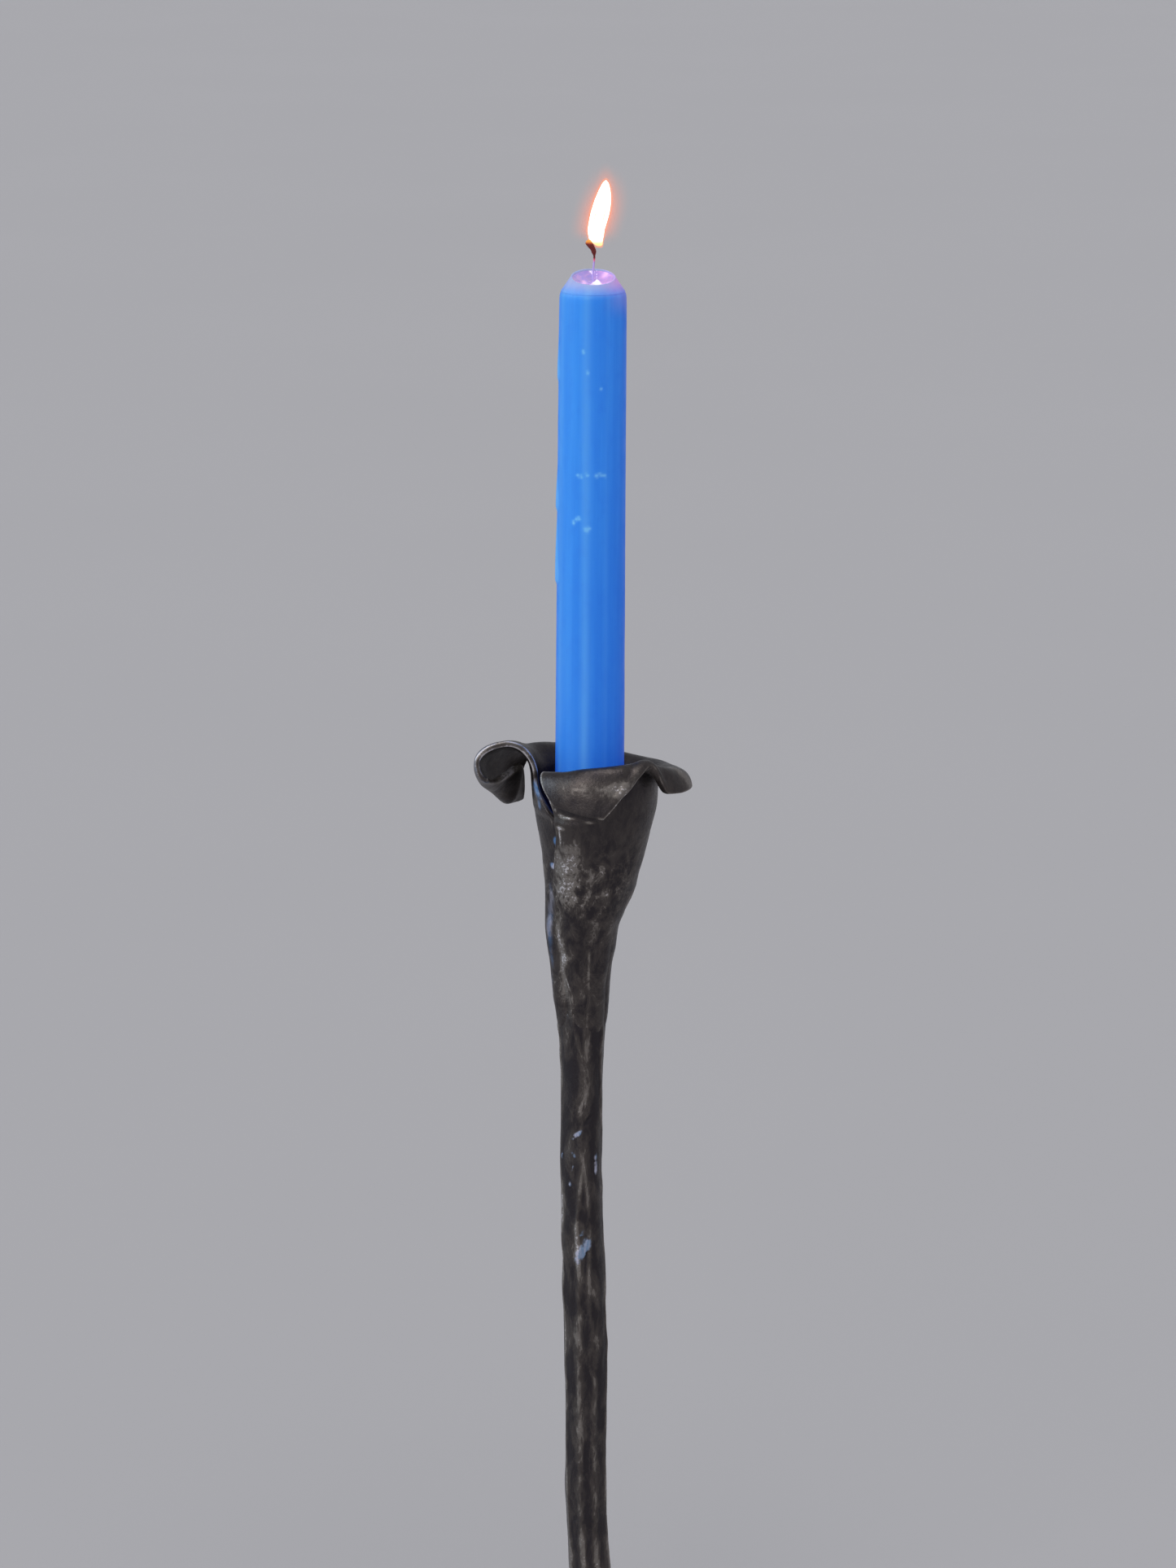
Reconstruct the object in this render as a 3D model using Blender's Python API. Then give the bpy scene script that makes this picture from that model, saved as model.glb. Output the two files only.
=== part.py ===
"""Forged iron candlestick: an open flower of rolled sheet on a slim hammered stem, with a dinner candle in it.

Lengths are in millimetres and are turned into metres when a mesh is made. Z is up, the base rests on Z = 0 and
its centre is the origin. Angles around the flower are in degrees from +X towards +Y.
"""

import math

import bmesh
import bpy
import numpy as np

MM = 0.001

# Round forged foot.
BASE_RADIUS = 60.0
BASE_THICKNESS = 6.0
BASE_EDGE_ROUND = 1.6
BASE_RISE = 1.4
BASE_HOLE_RADIUS = 4.8
RIVET_SEAT_RADIUS = 7.4
RIVET_SEAT_DEPTH = 2.4
BASE_SIDES = 56

# Stem: height, centre x, radius. It thickens to a root on the foot and narrows to a spigot inside the flower.
GAP = 0.3
TENON_RADIUS = 4.5
RIVET_RADIUS = 6.8
STEM_STATIONS = [
    (0.4, 0.0, RIVET_RADIUS),
    (1.6, 0.0, RIVET_RADIUS),
    (2.3, 0.0, TENON_RADIUS),
    (BASE_THICKNESS + BASE_RISE + GAP - 0.01, 0.0, TENON_RADIUS),
    (BASE_THICKNESS + BASE_RISE + GAP, 0.0, 10.5),
    (10.0, 0.0, 11.0),
    (14.0, 0.0, 9.6),
    (22.0, 0.0, 8.2),
    (36.0, 0.0, 7.3),
    (54.0, -0.1, 7.0),
    (70.0, -0.4, 6.95),
    (85.0, -1.1, 6.85),
    (107.0, -1.7, 6.9),
    (135.0, -1.6, 7.0),
    (150.0, -1.75, 7.15),
    (178.0, -2.5, 7.1),
    (192.0, -2.8, 6.8),
    (207.0, -2.95, 6.65),
    (221.0, -3.15, 6.65),
    (234.0, -3.05, 6.75),
    (244.0, -3.0, 6.95),
    (251.7, -3.0, 7.1),
    (251.71, -3.0, 5.0),
    (270.0, -3.05, 5.0),
    (283.0, -3.05, 3.6),
    (288.0, -3.05, 1.2),
]
STEM_SIDES = 20
STEM_FACETING = 0.035

# Flower wall: height, centre x, outer radius.
FLOWER_FOOT = 252.0
WALL = [
    (252.0, -3.0, 7.2),
    (258.0, -3.0, 7.8),
    (266.0, -3.1, 8.7),
    (276.0, -3.4, 9.75),
    (286.0, -3.05, 10.9),
    (292.0, -2.95, 11.7),
    (298.5, -1.9, 12.85),
    (304.0, -0.8, 14.1),
    (312.0, 0.25, 15.45),
    (318.0, 0.85, 16.6),
    (325.0, 1.0, 18.1),
    (334.0, 1.3, 19.8),
    (342.0, 1.35, 20.7),
    (352.0, 1.35, 21.2),
]
# Where the sheet's two side edges run: height, angle of the inner edge, angle of the outer edge lapped over it.
SEAM = [
    (252.0, 248.0, 254.0),
    (262.0, 250.0, 254.0),
    (270.0, 252.0, 250.0),
    (278.0, 248.0, 236.0),
    (300.0, 246.0, 231.0),
    (307.0, 240.0, 217.0),
    (317.0, 238.0, 221.0),
    (328.0, 232.0, 229.0),
    (334.0, 220.0, 227.0),
    (340.0, 203.0, 221.0),
    (346.0, 197.0, 219.0),
]
RIM_FIRST_ANGLE = 197.0
RIM_LAST_ANGLE = -141.0
# The rim rolls outwards and down. Each row is one place around it: angle, height of the roll's crest, its rise
# from the wall, half its width, half its drop, half its return under itself, the hook's height, how far round
# the section goes in degrees, and how far it drifts around the flower.
RIM = [
    (197.0, 355.2, 11.2, 9.8, 5.6, 4.0, 8.0, 266.0, 0.0),
    (176.0, 353.0, 10.0, 8.5, 7.3, 4.3, 11.0, 328.0, 0.0),
    (160.0, 351.2, 9.0, 7.2, 9.4, 4.6, 14.8, 350.0, 0.0),
    (148.0, 349.6, 8.0, 6.8, 8.9, 4.6, 11.0, 300.0, 0.0),
    (139.0, 348.8, 7.0, 6.2, 8.0, 4.5, 8.0, 228.0, 0.0),
    (129.0, 348.5, 6.0, 5.4, 6.2, 4.5, 5.0, 150.0, 0.0),
    (118.0, 347.8, 5.5, 4.8, 4.6, 4.5, 5.0, 132.0, 0.0),
    (105.0, 346.8, 5.5, 4.6, 4.2, 4.0, 4.0, 125.0, 0.0),
    (75.0, 344.8, 5.0, 4.6, 4.0, 4.0, 4.0, 125.0, 0.0),
    (50.0, 343.5, 5.0, 4.8, 4.0, 4.0, 4.0, 130.0, 0.0),
    (28.0, 343.1, 5.0, 5.0, 4.0, 4.0, 4.0, 145.0, 0.0),
    (8.0, 343.7, 5.0, 5.3, 4.2, 4.0, 4.0, 165.0, 0.0),
    (-8.0, 345.2, 4.5, 5.3, 5.8, 4.0, 4.0, 178.0, 0.0),
    (-22.0, 346.8, 4.0, 4.3, 7.2, 4.0, 4.0, 180.0, 0.0),
    (-33.0, 348.4, 3.2, 3.3, 8.1, 3.0, 3.0, 180.0, 0.0),
    (-46.0, 350.2, 3.0, 2.5, 3.6, 3.0, 3.0, 135.0, 0.0),
    (-60.0, 350.6, 3.0, 2.7, 5.2, 3.0, 3.0, 165.0, 0.0),
    (-72.0, 350.5, 3.2, 3.4, 8.3, 3.0, 3.0, 180.0, 0.0),
    (-85.0, 350.2, 3.4, 3.8, 14.4, 3.0, 3.0, 183.0, 0.0),
    (-100.0, 349.6, 3.4, 3.8, 12.6, 3.0, 3.0, 183.0, 3.0),
    (-120.0, 348.2, 3.4, 3.7, 10.2, 3.0, 3.0, 182.0, 12.0),
    (-141.0, 347.2, 3.4, 3.5, 8.2, 3.0, 3.0, 180.0, 22.0),
]
CREST_COLUMN = 1
DROP_COLUMN = 4
SHEET_THICKNESS = 1.8
FOOT_THICKNESS = 1.0
THIN_BELOW = 276.0
LAP_INWARD = 1.2
LAP_OUTWARD = 0.9
RIM_COLUMNS = 72
WALL_ROWS = 11
LIP_ROWS = 11
LIP_STEPS = 40

# Candle: it leans a little, and its foot is wedged in the flower's throat.
CANDLE_FOOT = (-0.59, 0.6, 304.0)
CANDLE_LEAN = math.radians(0.36)
CANDLE_LENGTH = 200.4
CANDLE_FOOT_RADIUS = 11.04
CANDLE_TOP_RADIUS = 10.5
CANDLE_SHOULDER = 6.9
CANDLE_FLAT_RADIUS = 5.8
CANDLE_CRATER_RADIUS = 4.9
CANDLE_CRATER_DEPTH = 3.2
CANDLE_FOOT_BEVEL = 0.6
WICK_RADIUS = 0.6
WICK_HOLE_RADIUS = WICK_RADIUS + GAP
CANDLE_SIDES = 40
# The wick above the wax: distance sideways and distance above the candle's foot, curling over at the tip.
WICK_BEND = [
    (0.0, 200.0),
    (0.1, 203.4),
    (0.35, 205.6),
    (0.2, 207.2),
    (-0.9, 208.8),
    (-2.0, 209.9),
]
WICK_SIDES = 8


def clear_scene():
    for thing in list(bpy.data.objects):
        bpy.data.objects.remove(thing, do_unlink=True)


def make_material(name, colour, roughness, metallic):
    material = bpy.data.materials.new(name)
    material.use_nodes = True
    shader = material.node_tree.nodes["Principled BSDF"]
    shader.inputs["Base Color"].default_value = (*colour, 1.0)
    shader.inputs["Roughness"].default_value = roughness
    shader.inputs["Metallic"].default_value = metallic
    return material


def forged_iron():
    return make_material("forged_iron", (0.055, 0.046, 0.042), 0.42, 0.85)


def hammered_iron():
    return make_material("hammered_iron", (0.06, 0.05, 0.043), 0.5, 0.85)


def plate_iron():
    return make_material("plate_iron", (0.05, 0.044, 0.04), 0.5, 0.85)


def blue_wax():
    return make_material("blue_wax", (0.03, 0.2, 0.78), 0.4, 0.0)


def burnt_cotton():
    return make_material("burnt_cotton", (0.05, 0.02, 0.015), 0.9, 0.0)


def make_object(bm, name, material, sharp_angle):
    """Turns millimetres into metres and makes one smooth-shaded object of the mesh."""
    bmesh.ops.scale(bm, vec=(MM, MM, MM), verts=bm.verts)
    bmesh.ops.recalc_face_normals(bm, faces=bm.faces)
    mesh = bpy.data.meshes.new(name)
    bm.to_mesh(mesh)
    bm.free()
    mesh.materials.append(material)
    mesh.shade_smooth()
    mesh.set_sharp_from_angle(angle=math.radians(sharp_angle))
    thing = bpy.data.objects.new(name, mesh)
    bpy.context.scene.collection.objects.link(thing)
    return thing


def smooth_rows(rows, at):
    """The other columns of a table at the given values of its first, joined by a monotone cubic."""
    table = np.array(sorted(rows))
    x = table[:, 0]
    y = table[:, 1:]
    at = np.clip(np.asarray(at, float), x[0], x[-1])
    width = np.diff(x)[:, None]
    slope = np.diff(y, axis=0) / width
    tangent = np.zeros_like(y)
    tangent[0] = slope[0]
    tangent[-1] = slope[-1]
    same_way = slope[1:] * slope[:-1] > 0
    total = np.where(same_way, slope[1:] + slope[:-1], 1.0)
    tangent[1:-1] = np.where(same_way, 2 * slope[1:] * slope[:-1] / total, 0.0)
    i = np.clip(np.searchsorted(x, at) - 1, 0, len(x) - 2)
    t = ((at - x[i]) / (x[i + 1] - x[i]))[:, None]
    start = (1 + 2 * t) * (1 - t) ** 2 * y[i] + t * (1 - t) ** 2 * width[i] * tangent[i]
    end = t * t * (3 - 2 * t) * y[i + 1] + t * t * (t - 1) * width[i] * tangent[i + 1]
    return start + end


def ease(x, low, high):
    t = np.clip((np.asarray(x, float) - low) / (high - low), 0.0, 1.0)
    return t * t * (3 - 2 * t)


def lap_share(inner_edge, outer_edge):
    """How far the sheet's two edges are pushed apart: 1 where they overlap, 0 where they are well clear."""
    return np.clip((inner_edge - outer_edge + 6.0) / 5.0, 0.0, 1.0)


def lip_section(crest_rise, half_width, half_drop, half_return, hook, end_angle, lean):
    """Distance out and up along the rolled rim, at LIP_ROWS even steps along its length."""
    turn = np.radians(end_angle) * np.linspace(0.0, 1.0, LIP_ROWS * LIP_STEPS + 1)
    c = np.cos(turn)
    s = np.sin(turn)
    rising = half_width * (1 - c) + lean * crest_rise * s * (1 - turn / math.pi)
    out = np.where(turn < math.pi, rising, 2 * half_width - half_return * (1 + c))
    up = np.where(turn < math.pi / 2, crest_rise * s, crest_rise - half_drop * (1 - s))
    hooked = crest_rise - 2 * half_drop + hook * (1 + s)
    up = np.where(turn > 1.5 * math.pi, hooked, up)
    along = np.concatenate([[0.0], np.cumsum(np.hypot(np.diff(out), np.diff(up)))])
    wanted = along[-1] * np.arange(1, LIP_ROWS + 1) / LIP_ROWS
    return np.interp(wanted, along, out), np.interp(wanted, along, up)


def flower_surface():
    """The middle of the sheet: a grid of points, columns around the flower by rows up the wall and over the rim."""
    share = np.linspace(0.0, 1.0, RIM_COLUMNS + 1)
    angle = RIM_FIRST_ANGLE + share * (RIM_LAST_ANGLE - RIM_FIRST_ANGLE)
    rim = smooth_rows(RIM, angle)
    table = np.array(sorted(RIM))
    rim[:, DROP_COLUMN - 1] = np.interp(angle, table[:, 0], table[:, DROP_COLUMN])
    points = np.zeros((RIM_COLUMNS + 1, WALL_ROWS + LIP_ROWS + 1, 3))
    rows = np.linspace(0.0, 1.0, WALL_ROWS + 1)
    for i, part in enumerate(share):
        crest, rise, half_width, half_drop, half_return, hook, end_angle, drift = rim[i]
        top = crest - rise
        height = FLOWER_FOOT + (top - FLOWER_FOOT) * rows
        centre, radius = smooth_rows(WALL, height).T
        inner_edge, outer_edge = smooth_rows(SEAM, height).T
        turn = np.radians(inner_edge + part * (outer_edge - 360.0 - inner_edge))
        apart = lap_share(inner_edge, outer_edge)
        inward = LAP_INWARD * (1 - ease(part, 0.05, 0.16))
        outward = LAP_OUTWARD * ease(part, 0.86, 0.97)
        middle = radius - SHEET_THICKNESS / 2 + apart * (outward - inward)
        points[i, : WALL_ROWS + 1, 0] = centre + middle * np.cos(turn)
        points[i, : WALL_ROWS + 1, 1] = middle * np.sin(turn)
        points[i, : WALL_ROWS + 1, 2] = height
        below, above = smooth_rows(WALL, [top - 0.5, top + 0.5])[:, 1]
        out, up = lip_section(rise, half_width, half_drop, half_return, hook, end_angle, above - below)
        drifted = turn[-1] + np.radians(drift) * (np.arange(1, LIP_ROWS + 1) / LIP_ROWS) ** 1.5
        points[i, WALL_ROWS + 1 :, 0] = centre[-1] + (middle[-1] + out) * np.cos(drifted)
        points[i, WALL_ROWS + 1 :, 1] = (middle[-1] + out) * np.sin(drifted)
        points[i, WALL_ROWS + 1 :, 2] = top + up
    return points


def surface_normals(points):
    around = np.gradient(points, axis=0)
    along = np.gradient(points, axis=1)
    normal = np.cross(along, around)
    return normal / np.linalg.norm(normal, axis=2, keepdims=True)


def make_flower():
    """One sheet with its thickness: two skins, joined along the seam's edges, the foot and the rim."""
    points = flower_surface()
    thin = ease(points[:, :, 2:3], FLOWER_FOOT, THIN_BELOW)
    half = (FOOT_THICKNESS + (SHEET_THICKNESS - FOOT_THICKNESS) * thin) / 2
    # The wall's outer face keeps its place where the sheet thins towards the foot.
    middle = points + surface_normals(points) * (SHEET_THICKNESS / 2 - half)
    skins = [middle + surface_normals(points) * half * side for side in (1, -1)]
    bm = bmesh.new()
    grids = [[[bm.verts.new(p) for p in column] for column in skin] for skin in skins]
    columns = RIM_COLUMNS + 1
    rows = WALL_ROWS + LIP_ROWS + 1
    for grid in grids:
        for i in range(columns - 1):
            for j in range(rows - 1):
                bm.faces.new((grid[i][j], grid[i + 1][j], grid[i + 1][j + 1], grid[i][j + 1]))
    outer, inner = grids
    for i in range(columns - 1):
        for j in (0, rows - 1):
            bm.faces.new((outer[i][j], outer[i + 1][j], inner[i + 1][j], inner[i][j]))
    for j in range(rows - 1):
        for i in (0, columns - 1):
            bm.faces.new((outer[i][j], outer[i][j + 1], inner[i][j + 1], inner[i][j]))
    return make_object(bm, "flower", forged_iron(), 50)


def add_ring(bm, centre, radii, sides):
    """A closed ring of vertices at one height; radii has one value for each side."""
    ring = []
    for k in range(sides):
        turn = 2 * math.pi * k / sides
        x = centre[0] + radii[k] * math.cos(turn)
        y = centre[1] + radii[k] * math.sin(turn)
        ring.append(bm.verts.new((x, y, centre[2])))
    return ring


def join_rings(bm, rings):
    """Walls between neighbouring rings and a cap on each end."""
    for low, high in zip(rings, rings[1:]):
        for k in range(len(low)):
            after = (k + 1) % len(low)
            bm.faces.new((low[k], low[after], high[after], high[k]))
    bm.faces.new(rings[0][::-1])
    bm.faces.new(rings[-1])


def make_stem():
    """A bar with soft hammered flats that wander around it with height, a riveted tenon and a pointed spigot."""
    bm = bmesh.new()
    rings = []
    for height, centre, radius in STEM_STATIONS:
        hammered = 20.0 < height < FLOWER_FOOT - 1
        depth = STEM_FACETING if hammered else 0.0
        wander = 0.4 * math.sin(height / 31.0)
        radii = []
        for k in range(STEM_SIDES):
            turn = 2 * math.pi * k / STEM_SIDES
            flats = math.cos(5 * (turn + wander)) + 0.4 * math.cos(3 * turn - height / 47.0)
            radii.append(radius * (1 + depth * 0.7 * (flats - 1.0)))
        rings.append(add_ring(bm, (centre, 0.0, height), radii, STEM_SIDES))
    join_rings(bm, rings)
    return make_object(bm, "stem", hammered_iron(), 40)


def spin_profile(profile, sides):
    """A closed outline in the XZ plane, spun all the way around Z."""
    bm = bmesh.new()
    verts = [bm.verts.new((x, 0.0, z)) for x, z in profile]
    edges = [bm.edges.new((a, b)) for a, b in zip(verts, verts[1:] + verts[:1])]
    bmesh.ops.spin(
        bm,
        geom=verts + edges,
        cent=(0.0, 0.0, 0.0),
        axis=(0.0, 0.0, 1.0),
        angle=2 * math.pi,
        steps=sides,
        use_merge=True,
    )
    bmesh.ops.remove_doubles(bm, verts=bm.verts, dist=0.0001)
    return bm


def quarter_round(centre_x, centre_z, radius, first, last, steps):
    """Points of an arc in the outline's plane, angles in degrees from +X towards +Z."""
    points = []
    for k in range(steps + 1):
        turn = math.radians(first + (last - first) * k / steps)
        points.append((centre_x + radius * math.cos(turn), centre_z + radius * math.sin(turn)))
    return points


def make_base_plate():
    """A disc with a rounded edge and a slightly raised middle, drilled for the tenon and countersunk below."""
    corner = BASE_RADIUS - BASE_EDGE_ROUND
    profile = [
        (BASE_HOLE_RADIUS, RIVET_SEAT_DEPTH + 0.6),
        (RIVET_SEAT_RADIUS, RIVET_SEAT_DEPTH),
        (RIVET_SEAT_RADIUS, 0.0),
    ]
    profile += quarter_round(corner, BASE_EDGE_ROUND, BASE_EDGE_ROUND, -90, 0, 3)
    profile += quarter_round(corner, BASE_THICKNESS - BASE_EDGE_ROUND, BASE_EDGE_ROUND, 0, 90, 3)
    profile += [
        (BASE_RADIUS * 0.55, BASE_THICKNESS + BASE_RISE * 0.3),
        (BASE_RADIUS * 0.3, BASE_THICKNESS + BASE_RISE * 0.85),
        (BASE_RADIUS * 0.19, BASE_THICKNESS + BASE_RISE),
        (BASE_HOLE_RADIUS, BASE_THICKNESS + BASE_RISE),
    ]
    return make_object(spin_profile(profile, BASE_SIDES), "base_plate", plate_iron(), 40)


def place_on_candle_axis(thing):
    thing.location = [value * MM for value in CANDLE_FOOT]
    thing.rotation_euler = (0.0, CANDLE_LEAN, 0.0)


def make_candle():
    """A slightly tapered candle with a sloped shoulder, a burnt-down crater and a bore for its wick."""
    shoulder = CANDLE_LENGTH - CANDLE_SHOULDER
    pool = CANDLE_LENGTH - CANDLE_CRATER_DEPTH
    profile = [
        (WICK_HOLE_RADIUS, 0.0),
        (CANDLE_FOOT_RADIUS - CANDLE_FOOT_BEVEL, 0.0),
        (CANDLE_FOOT_RADIUS, CANDLE_FOOT_BEVEL),
        (CANDLE_TOP_RADIUS, shoulder),
        (CANDLE_FLAT_RADIUS, CANDLE_LENGTH),
        (CANDLE_CRATER_RADIUS, CANDLE_LENGTH),
        (CANDLE_CRATER_RADIUS * 0.8, pool + 0.4),
        (CANDLE_CRATER_RADIUS * 0.5, pool),
        (WICK_HOLE_RADIUS, pool),
    ]
    candle = make_object(spin_profile(profile, CANDLE_SIDES), "candle", blue_wax(), 35)
    place_on_candle_axis(candle)
    return candle


def make_wick():
    bm = bmesh.new()
    rings = [add_ring(bm, (0.0, 0.0, 0.3), [WICK_RADIUS] * WICK_SIDES, WICK_SIDES)]
    for across, up in WICK_BEND[:-1]:
        rings.append(add_ring(bm, (across, 0.0, up), [WICK_RADIUS] * WICK_SIDES, WICK_SIDES))
    tip = WICK_BEND[-1]
    rings.append(add_ring(bm, (tip[0], 0.0, tip[1]), [WICK_RADIUS * 0.6] * WICK_SIDES, WICK_SIDES))
    join_rings(bm, rings)
    wick = make_object(bm, "wick", burnt_cotton(), 50)
    place_on_candle_axis(wick)
    return wick


def build():
    clear_scene()
    make_base_plate()
    make_stem()
    make_flower()
    make_candle()
    make_wick()


build()
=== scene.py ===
"""Looks of a forged flower candlestick with a lit blue candle, built over its CAD frame.

Lengths are in millimetres in the row frame, and become metres when a mesh is made. Angles along the flower's
rim are in degrees from +X towards +Y; angles from the front are in degrees from -Y towards +X.
"""

import itertools
import math
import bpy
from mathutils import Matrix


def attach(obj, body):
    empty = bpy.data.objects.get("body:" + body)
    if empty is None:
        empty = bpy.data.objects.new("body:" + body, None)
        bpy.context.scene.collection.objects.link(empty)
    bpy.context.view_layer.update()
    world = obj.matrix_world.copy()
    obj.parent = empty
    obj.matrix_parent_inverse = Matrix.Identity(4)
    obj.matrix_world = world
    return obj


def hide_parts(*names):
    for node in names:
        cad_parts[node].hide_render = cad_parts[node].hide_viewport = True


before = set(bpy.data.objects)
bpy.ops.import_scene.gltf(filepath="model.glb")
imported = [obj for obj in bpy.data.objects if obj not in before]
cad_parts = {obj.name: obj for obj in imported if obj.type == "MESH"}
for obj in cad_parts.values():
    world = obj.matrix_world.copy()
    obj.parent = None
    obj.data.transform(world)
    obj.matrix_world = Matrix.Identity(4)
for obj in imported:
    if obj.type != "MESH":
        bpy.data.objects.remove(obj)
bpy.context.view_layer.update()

from types import SimpleNamespace

import bpy
import numpy as np
from mathutils import Vector

MM = 0.001

# ---------------------------------------------------------------- shapes shared with the CAD part
FLOWER_FOOT = 252.0
# The flower wall: height, centre along X, outer radius.
WALL = [
    (252, -3, 7.2), (258, -3, 7.8), (266, -3.1, 8.7), (276, -3.4, 9.75), (286, -3.05, 10.9),
    (292, -2.95, 11.7), (298.5, -1.9, 12.85), (304, -0.8, 14.1), (312, 0.25, 15.45), (318, 0.85, 16.6),
    (325, 1, 18.1), (334, 1.3, 19.8), (342, 1.35, 20.7), (352, 1.35, 21.2),
]
# Where the sheet's two side edges run: height, angle of the inner edge, angle of the outer edge.
SEAM = [
    (252, 248, 254), (262, 250, 254), (270, 252, 250), (278, 248, 236), (300, 246, 231), (307, 240, 217),
    (317, 238, 221), (328, 232, 229), (334, 220, 227), (340, 203, 221), (346, 197, 219),
]
RIM_FIRST_ANGLE = 197.0
RIM_LAST_ANGLE = -141.0
# Angle, crest height, rise, half width, half drop, half return, hook height, end angle, drift.
RIM = [
    (197, 355.2, 11.2, 9.8, 5.6, 4, 8, 266, 0), (176, 353, 10, 8.5, 7.3, 4.3, 11, 328, 0),
    (160, 351.2, 9, 7.2, 9.4, 4.6, 14.8, 350, 0), (148, 349.6, 8, 6.8, 8.9, 4.6, 11, 300, 0),
    (139, 348.8, 7, 6.2, 8, 4.5, 8, 228, 0), (129, 348.5, 6, 5.4, 6.2, 4.5, 5, 150, 0),
    (118, 347.8, 5.5, 4.8, 4.6, 4.5, 5, 132, 0), (105, 346.8, 5.5, 4.6, 4.2, 4, 4, 125, 0),
    (75, 344.8, 5, 4.6, 4, 4, 4, 125, 0), (50, 343.5, 5, 4.8, 4, 4, 4, 130, 0),
    (28, 343.1, 5, 5, 4, 4, 4, 145, 0), (8, 343.7, 5, 5.3, 4.2, 4, 4, 165, 0),
    (-8, 345.2, 4.5, 5.3, 5.8, 4, 4, 178, 0), (-22, 346.8, 4, 4.3, 7.2, 4, 4, 180, 0),
    (-33, 348.4, 3.2, 3.3, 8.1, 3, 3, 180, 0), (-46, 350.2, 3, 2.5, 3.6, 3, 3, 135, 0),
    (-60, 350.6, 3, 2.7, 5.2, 3, 3, 165, 0), (-72, 350.5, 3.2, 3.4, 8.3, 3, 3, 180, 0),
    (-85, 350.2, 3.4, 3.8, 14.4, 3, 3, 183, 0), (-100, 349.6, 3.4, 3.8, 12.6, 3, 3, 183, 3),
    (-120, 348.2, 3.4, 3.7, 10.2, 3, 3, 182, 12), (-141, 347.2, 3.4, 3.5, 8.2, 3, 3, 180, 22),
]
DROP_COLUMN = 4
# How bright the rolled rim's edge is, rubbed and with a painted highlight, from its last angle to its first.
RIM_WEAR_AND_GLINT = [
    (-141, 0.1), (-90, 0.12), (-86, 0.9), (-62, 1.00), (-46, 0.6), (-30, 0.55), (10, 0.6), (60, 0.4),
    (150, 0.45), (176, 0.75), (197, 1.00),
]
SHEET_THICKNESS = 1.8
LAP_INWARD = 1.2
LAP_OUTWARD = 0.9
# The stem: height, centre along X, radius.
STEM_STATIONS = [
    (7.7, 0, 10.5), (10, 0, 11), (14, 0, 9.6), (22, 0, 8.2), (36, 0, 7.3), (54, -0.1, 7), (70, -0.4, 6.95),
    (85, -1.1, 6.85), (107, -1.7, 6.9), (135, -1.6, 7), (150, -1.75, 7.15), (178, -2.5, 7.1),
    (192, -2.8, 6.8), (207, -2.95, 6.65), (221, -3.15, 6.65), (234, -3.05, 6.75), (244, -3, 6.95),
    (252, -3, 7.2), (256, -3, 7.55), (260, -3.05, 7.95), (264, -3.05, 7.7), (268, -3.05, 6),
    (283, -3.05, 3.6), (288, -3.05, 1.2),
]
CANDLE_FOOT = (-0.59, 0.6, 304.0)
CANDLE_LEAN = math.radians(0.36)
CANDLE_LENGTH = 200.4
CANDLE_FOOT_RADIUS = 11.04
CANDLE_TOP_RADIUS = 10.5
CANDLE_SHOULDER = 6.9
CANDLE_FLAT_RADIUS = 5.8
BASE_RADIUS = 60.0
BASE_THICKNESS = 6.0
BASE_RISE = 1.4
BASE_HOLE_RADIUS = 4.8
# ---------------------------------------------------------------- camera
AIM = (-0.91, 0.0, 340.0)
ELEVATION = math.radians(14.0)
DISTANCE = 1423.0
TALL_VIEW = math.radians(20.0)


# ---------------------------------------------------------------- numbers
def smooth_rows(rows, at):
    """The other columns of a table at the given values of its first, joined by a monotone cubic."""
    table = np.array(sorted(rows), float)
    x = table[:, 0]
    y = table[:, 1:]
    at = np.clip(np.asarray(at, float), x[0], x[-1])
    width = np.diff(x)[:, None]
    slope = np.diff(y, axis=0) / width
    tangent = np.zeros_like(y)
    tangent[0] = slope[0]
    tangent[-1] = slope[-1]
    same_way = slope[1:] * slope[:-1] > 0
    total = np.where(same_way, slope[1:] + slope[:-1], 1.0)
    tangent[1:-1] = np.where(same_way, 2 * slope[1:] * slope[:-1] / total, 0.0)
    i = np.clip(np.searchsorted(x, at) - 1, 0, len(x) - 2)
    t = ((at - x[i]) / (x[i + 1] - x[i]))[:, None]
    start = (1 + 2 * t) * (1 - t) ** 2 * y[i] + t * (1 - t) ** 2 * width[i] * tangent[i]
    end = t * t * (3 - 2 * t) * y[i + 1] + t * t * (t - 1) * width[i] * tangent[i + 1]
    return start + end


def ease(x, low, high):
    """0 below low, 1 above high, smooth between."""
    t = np.clip((np.asarray(x, float) - low) / (high - low), 0.0, 1.0)
    return t * t * (3 - 2 * t)


def bump(x, middle, half_width):
    """1 at the middle, falling smoothly to 0 about two half widths away."""
    return np.exp(-(((np.asarray(x, float) - middle) / half_width) ** 2))


def turned(degrees):
    """The same angle between -180 and 180 degrees."""
    return (degrees + 180.0) % 360.0 - 180.0


def turns(sides):
    """Even steps once around, in radians."""
    return np.radians(np.arange(sides) * 360.0 / sides)


def lattice(i, j, k, seed):
    """The same random number from 0 to 1 each time for each whole-number point."""
    mixed = (i * 374761393 + j * 668265263 + k * 362437 + seed * 1274126177) & 0xFFFFFFFF
    mixed = ((mixed ^ (mixed >> 13)) * 1274126177) & 0xFFFFFFFF
    mixed = ((mixed ^ (mixed >> 16)) * 2246822519) & 0xFFFFFFFF
    return ((mixed >> 8) & 0xFFFF) / 65535.0


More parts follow.
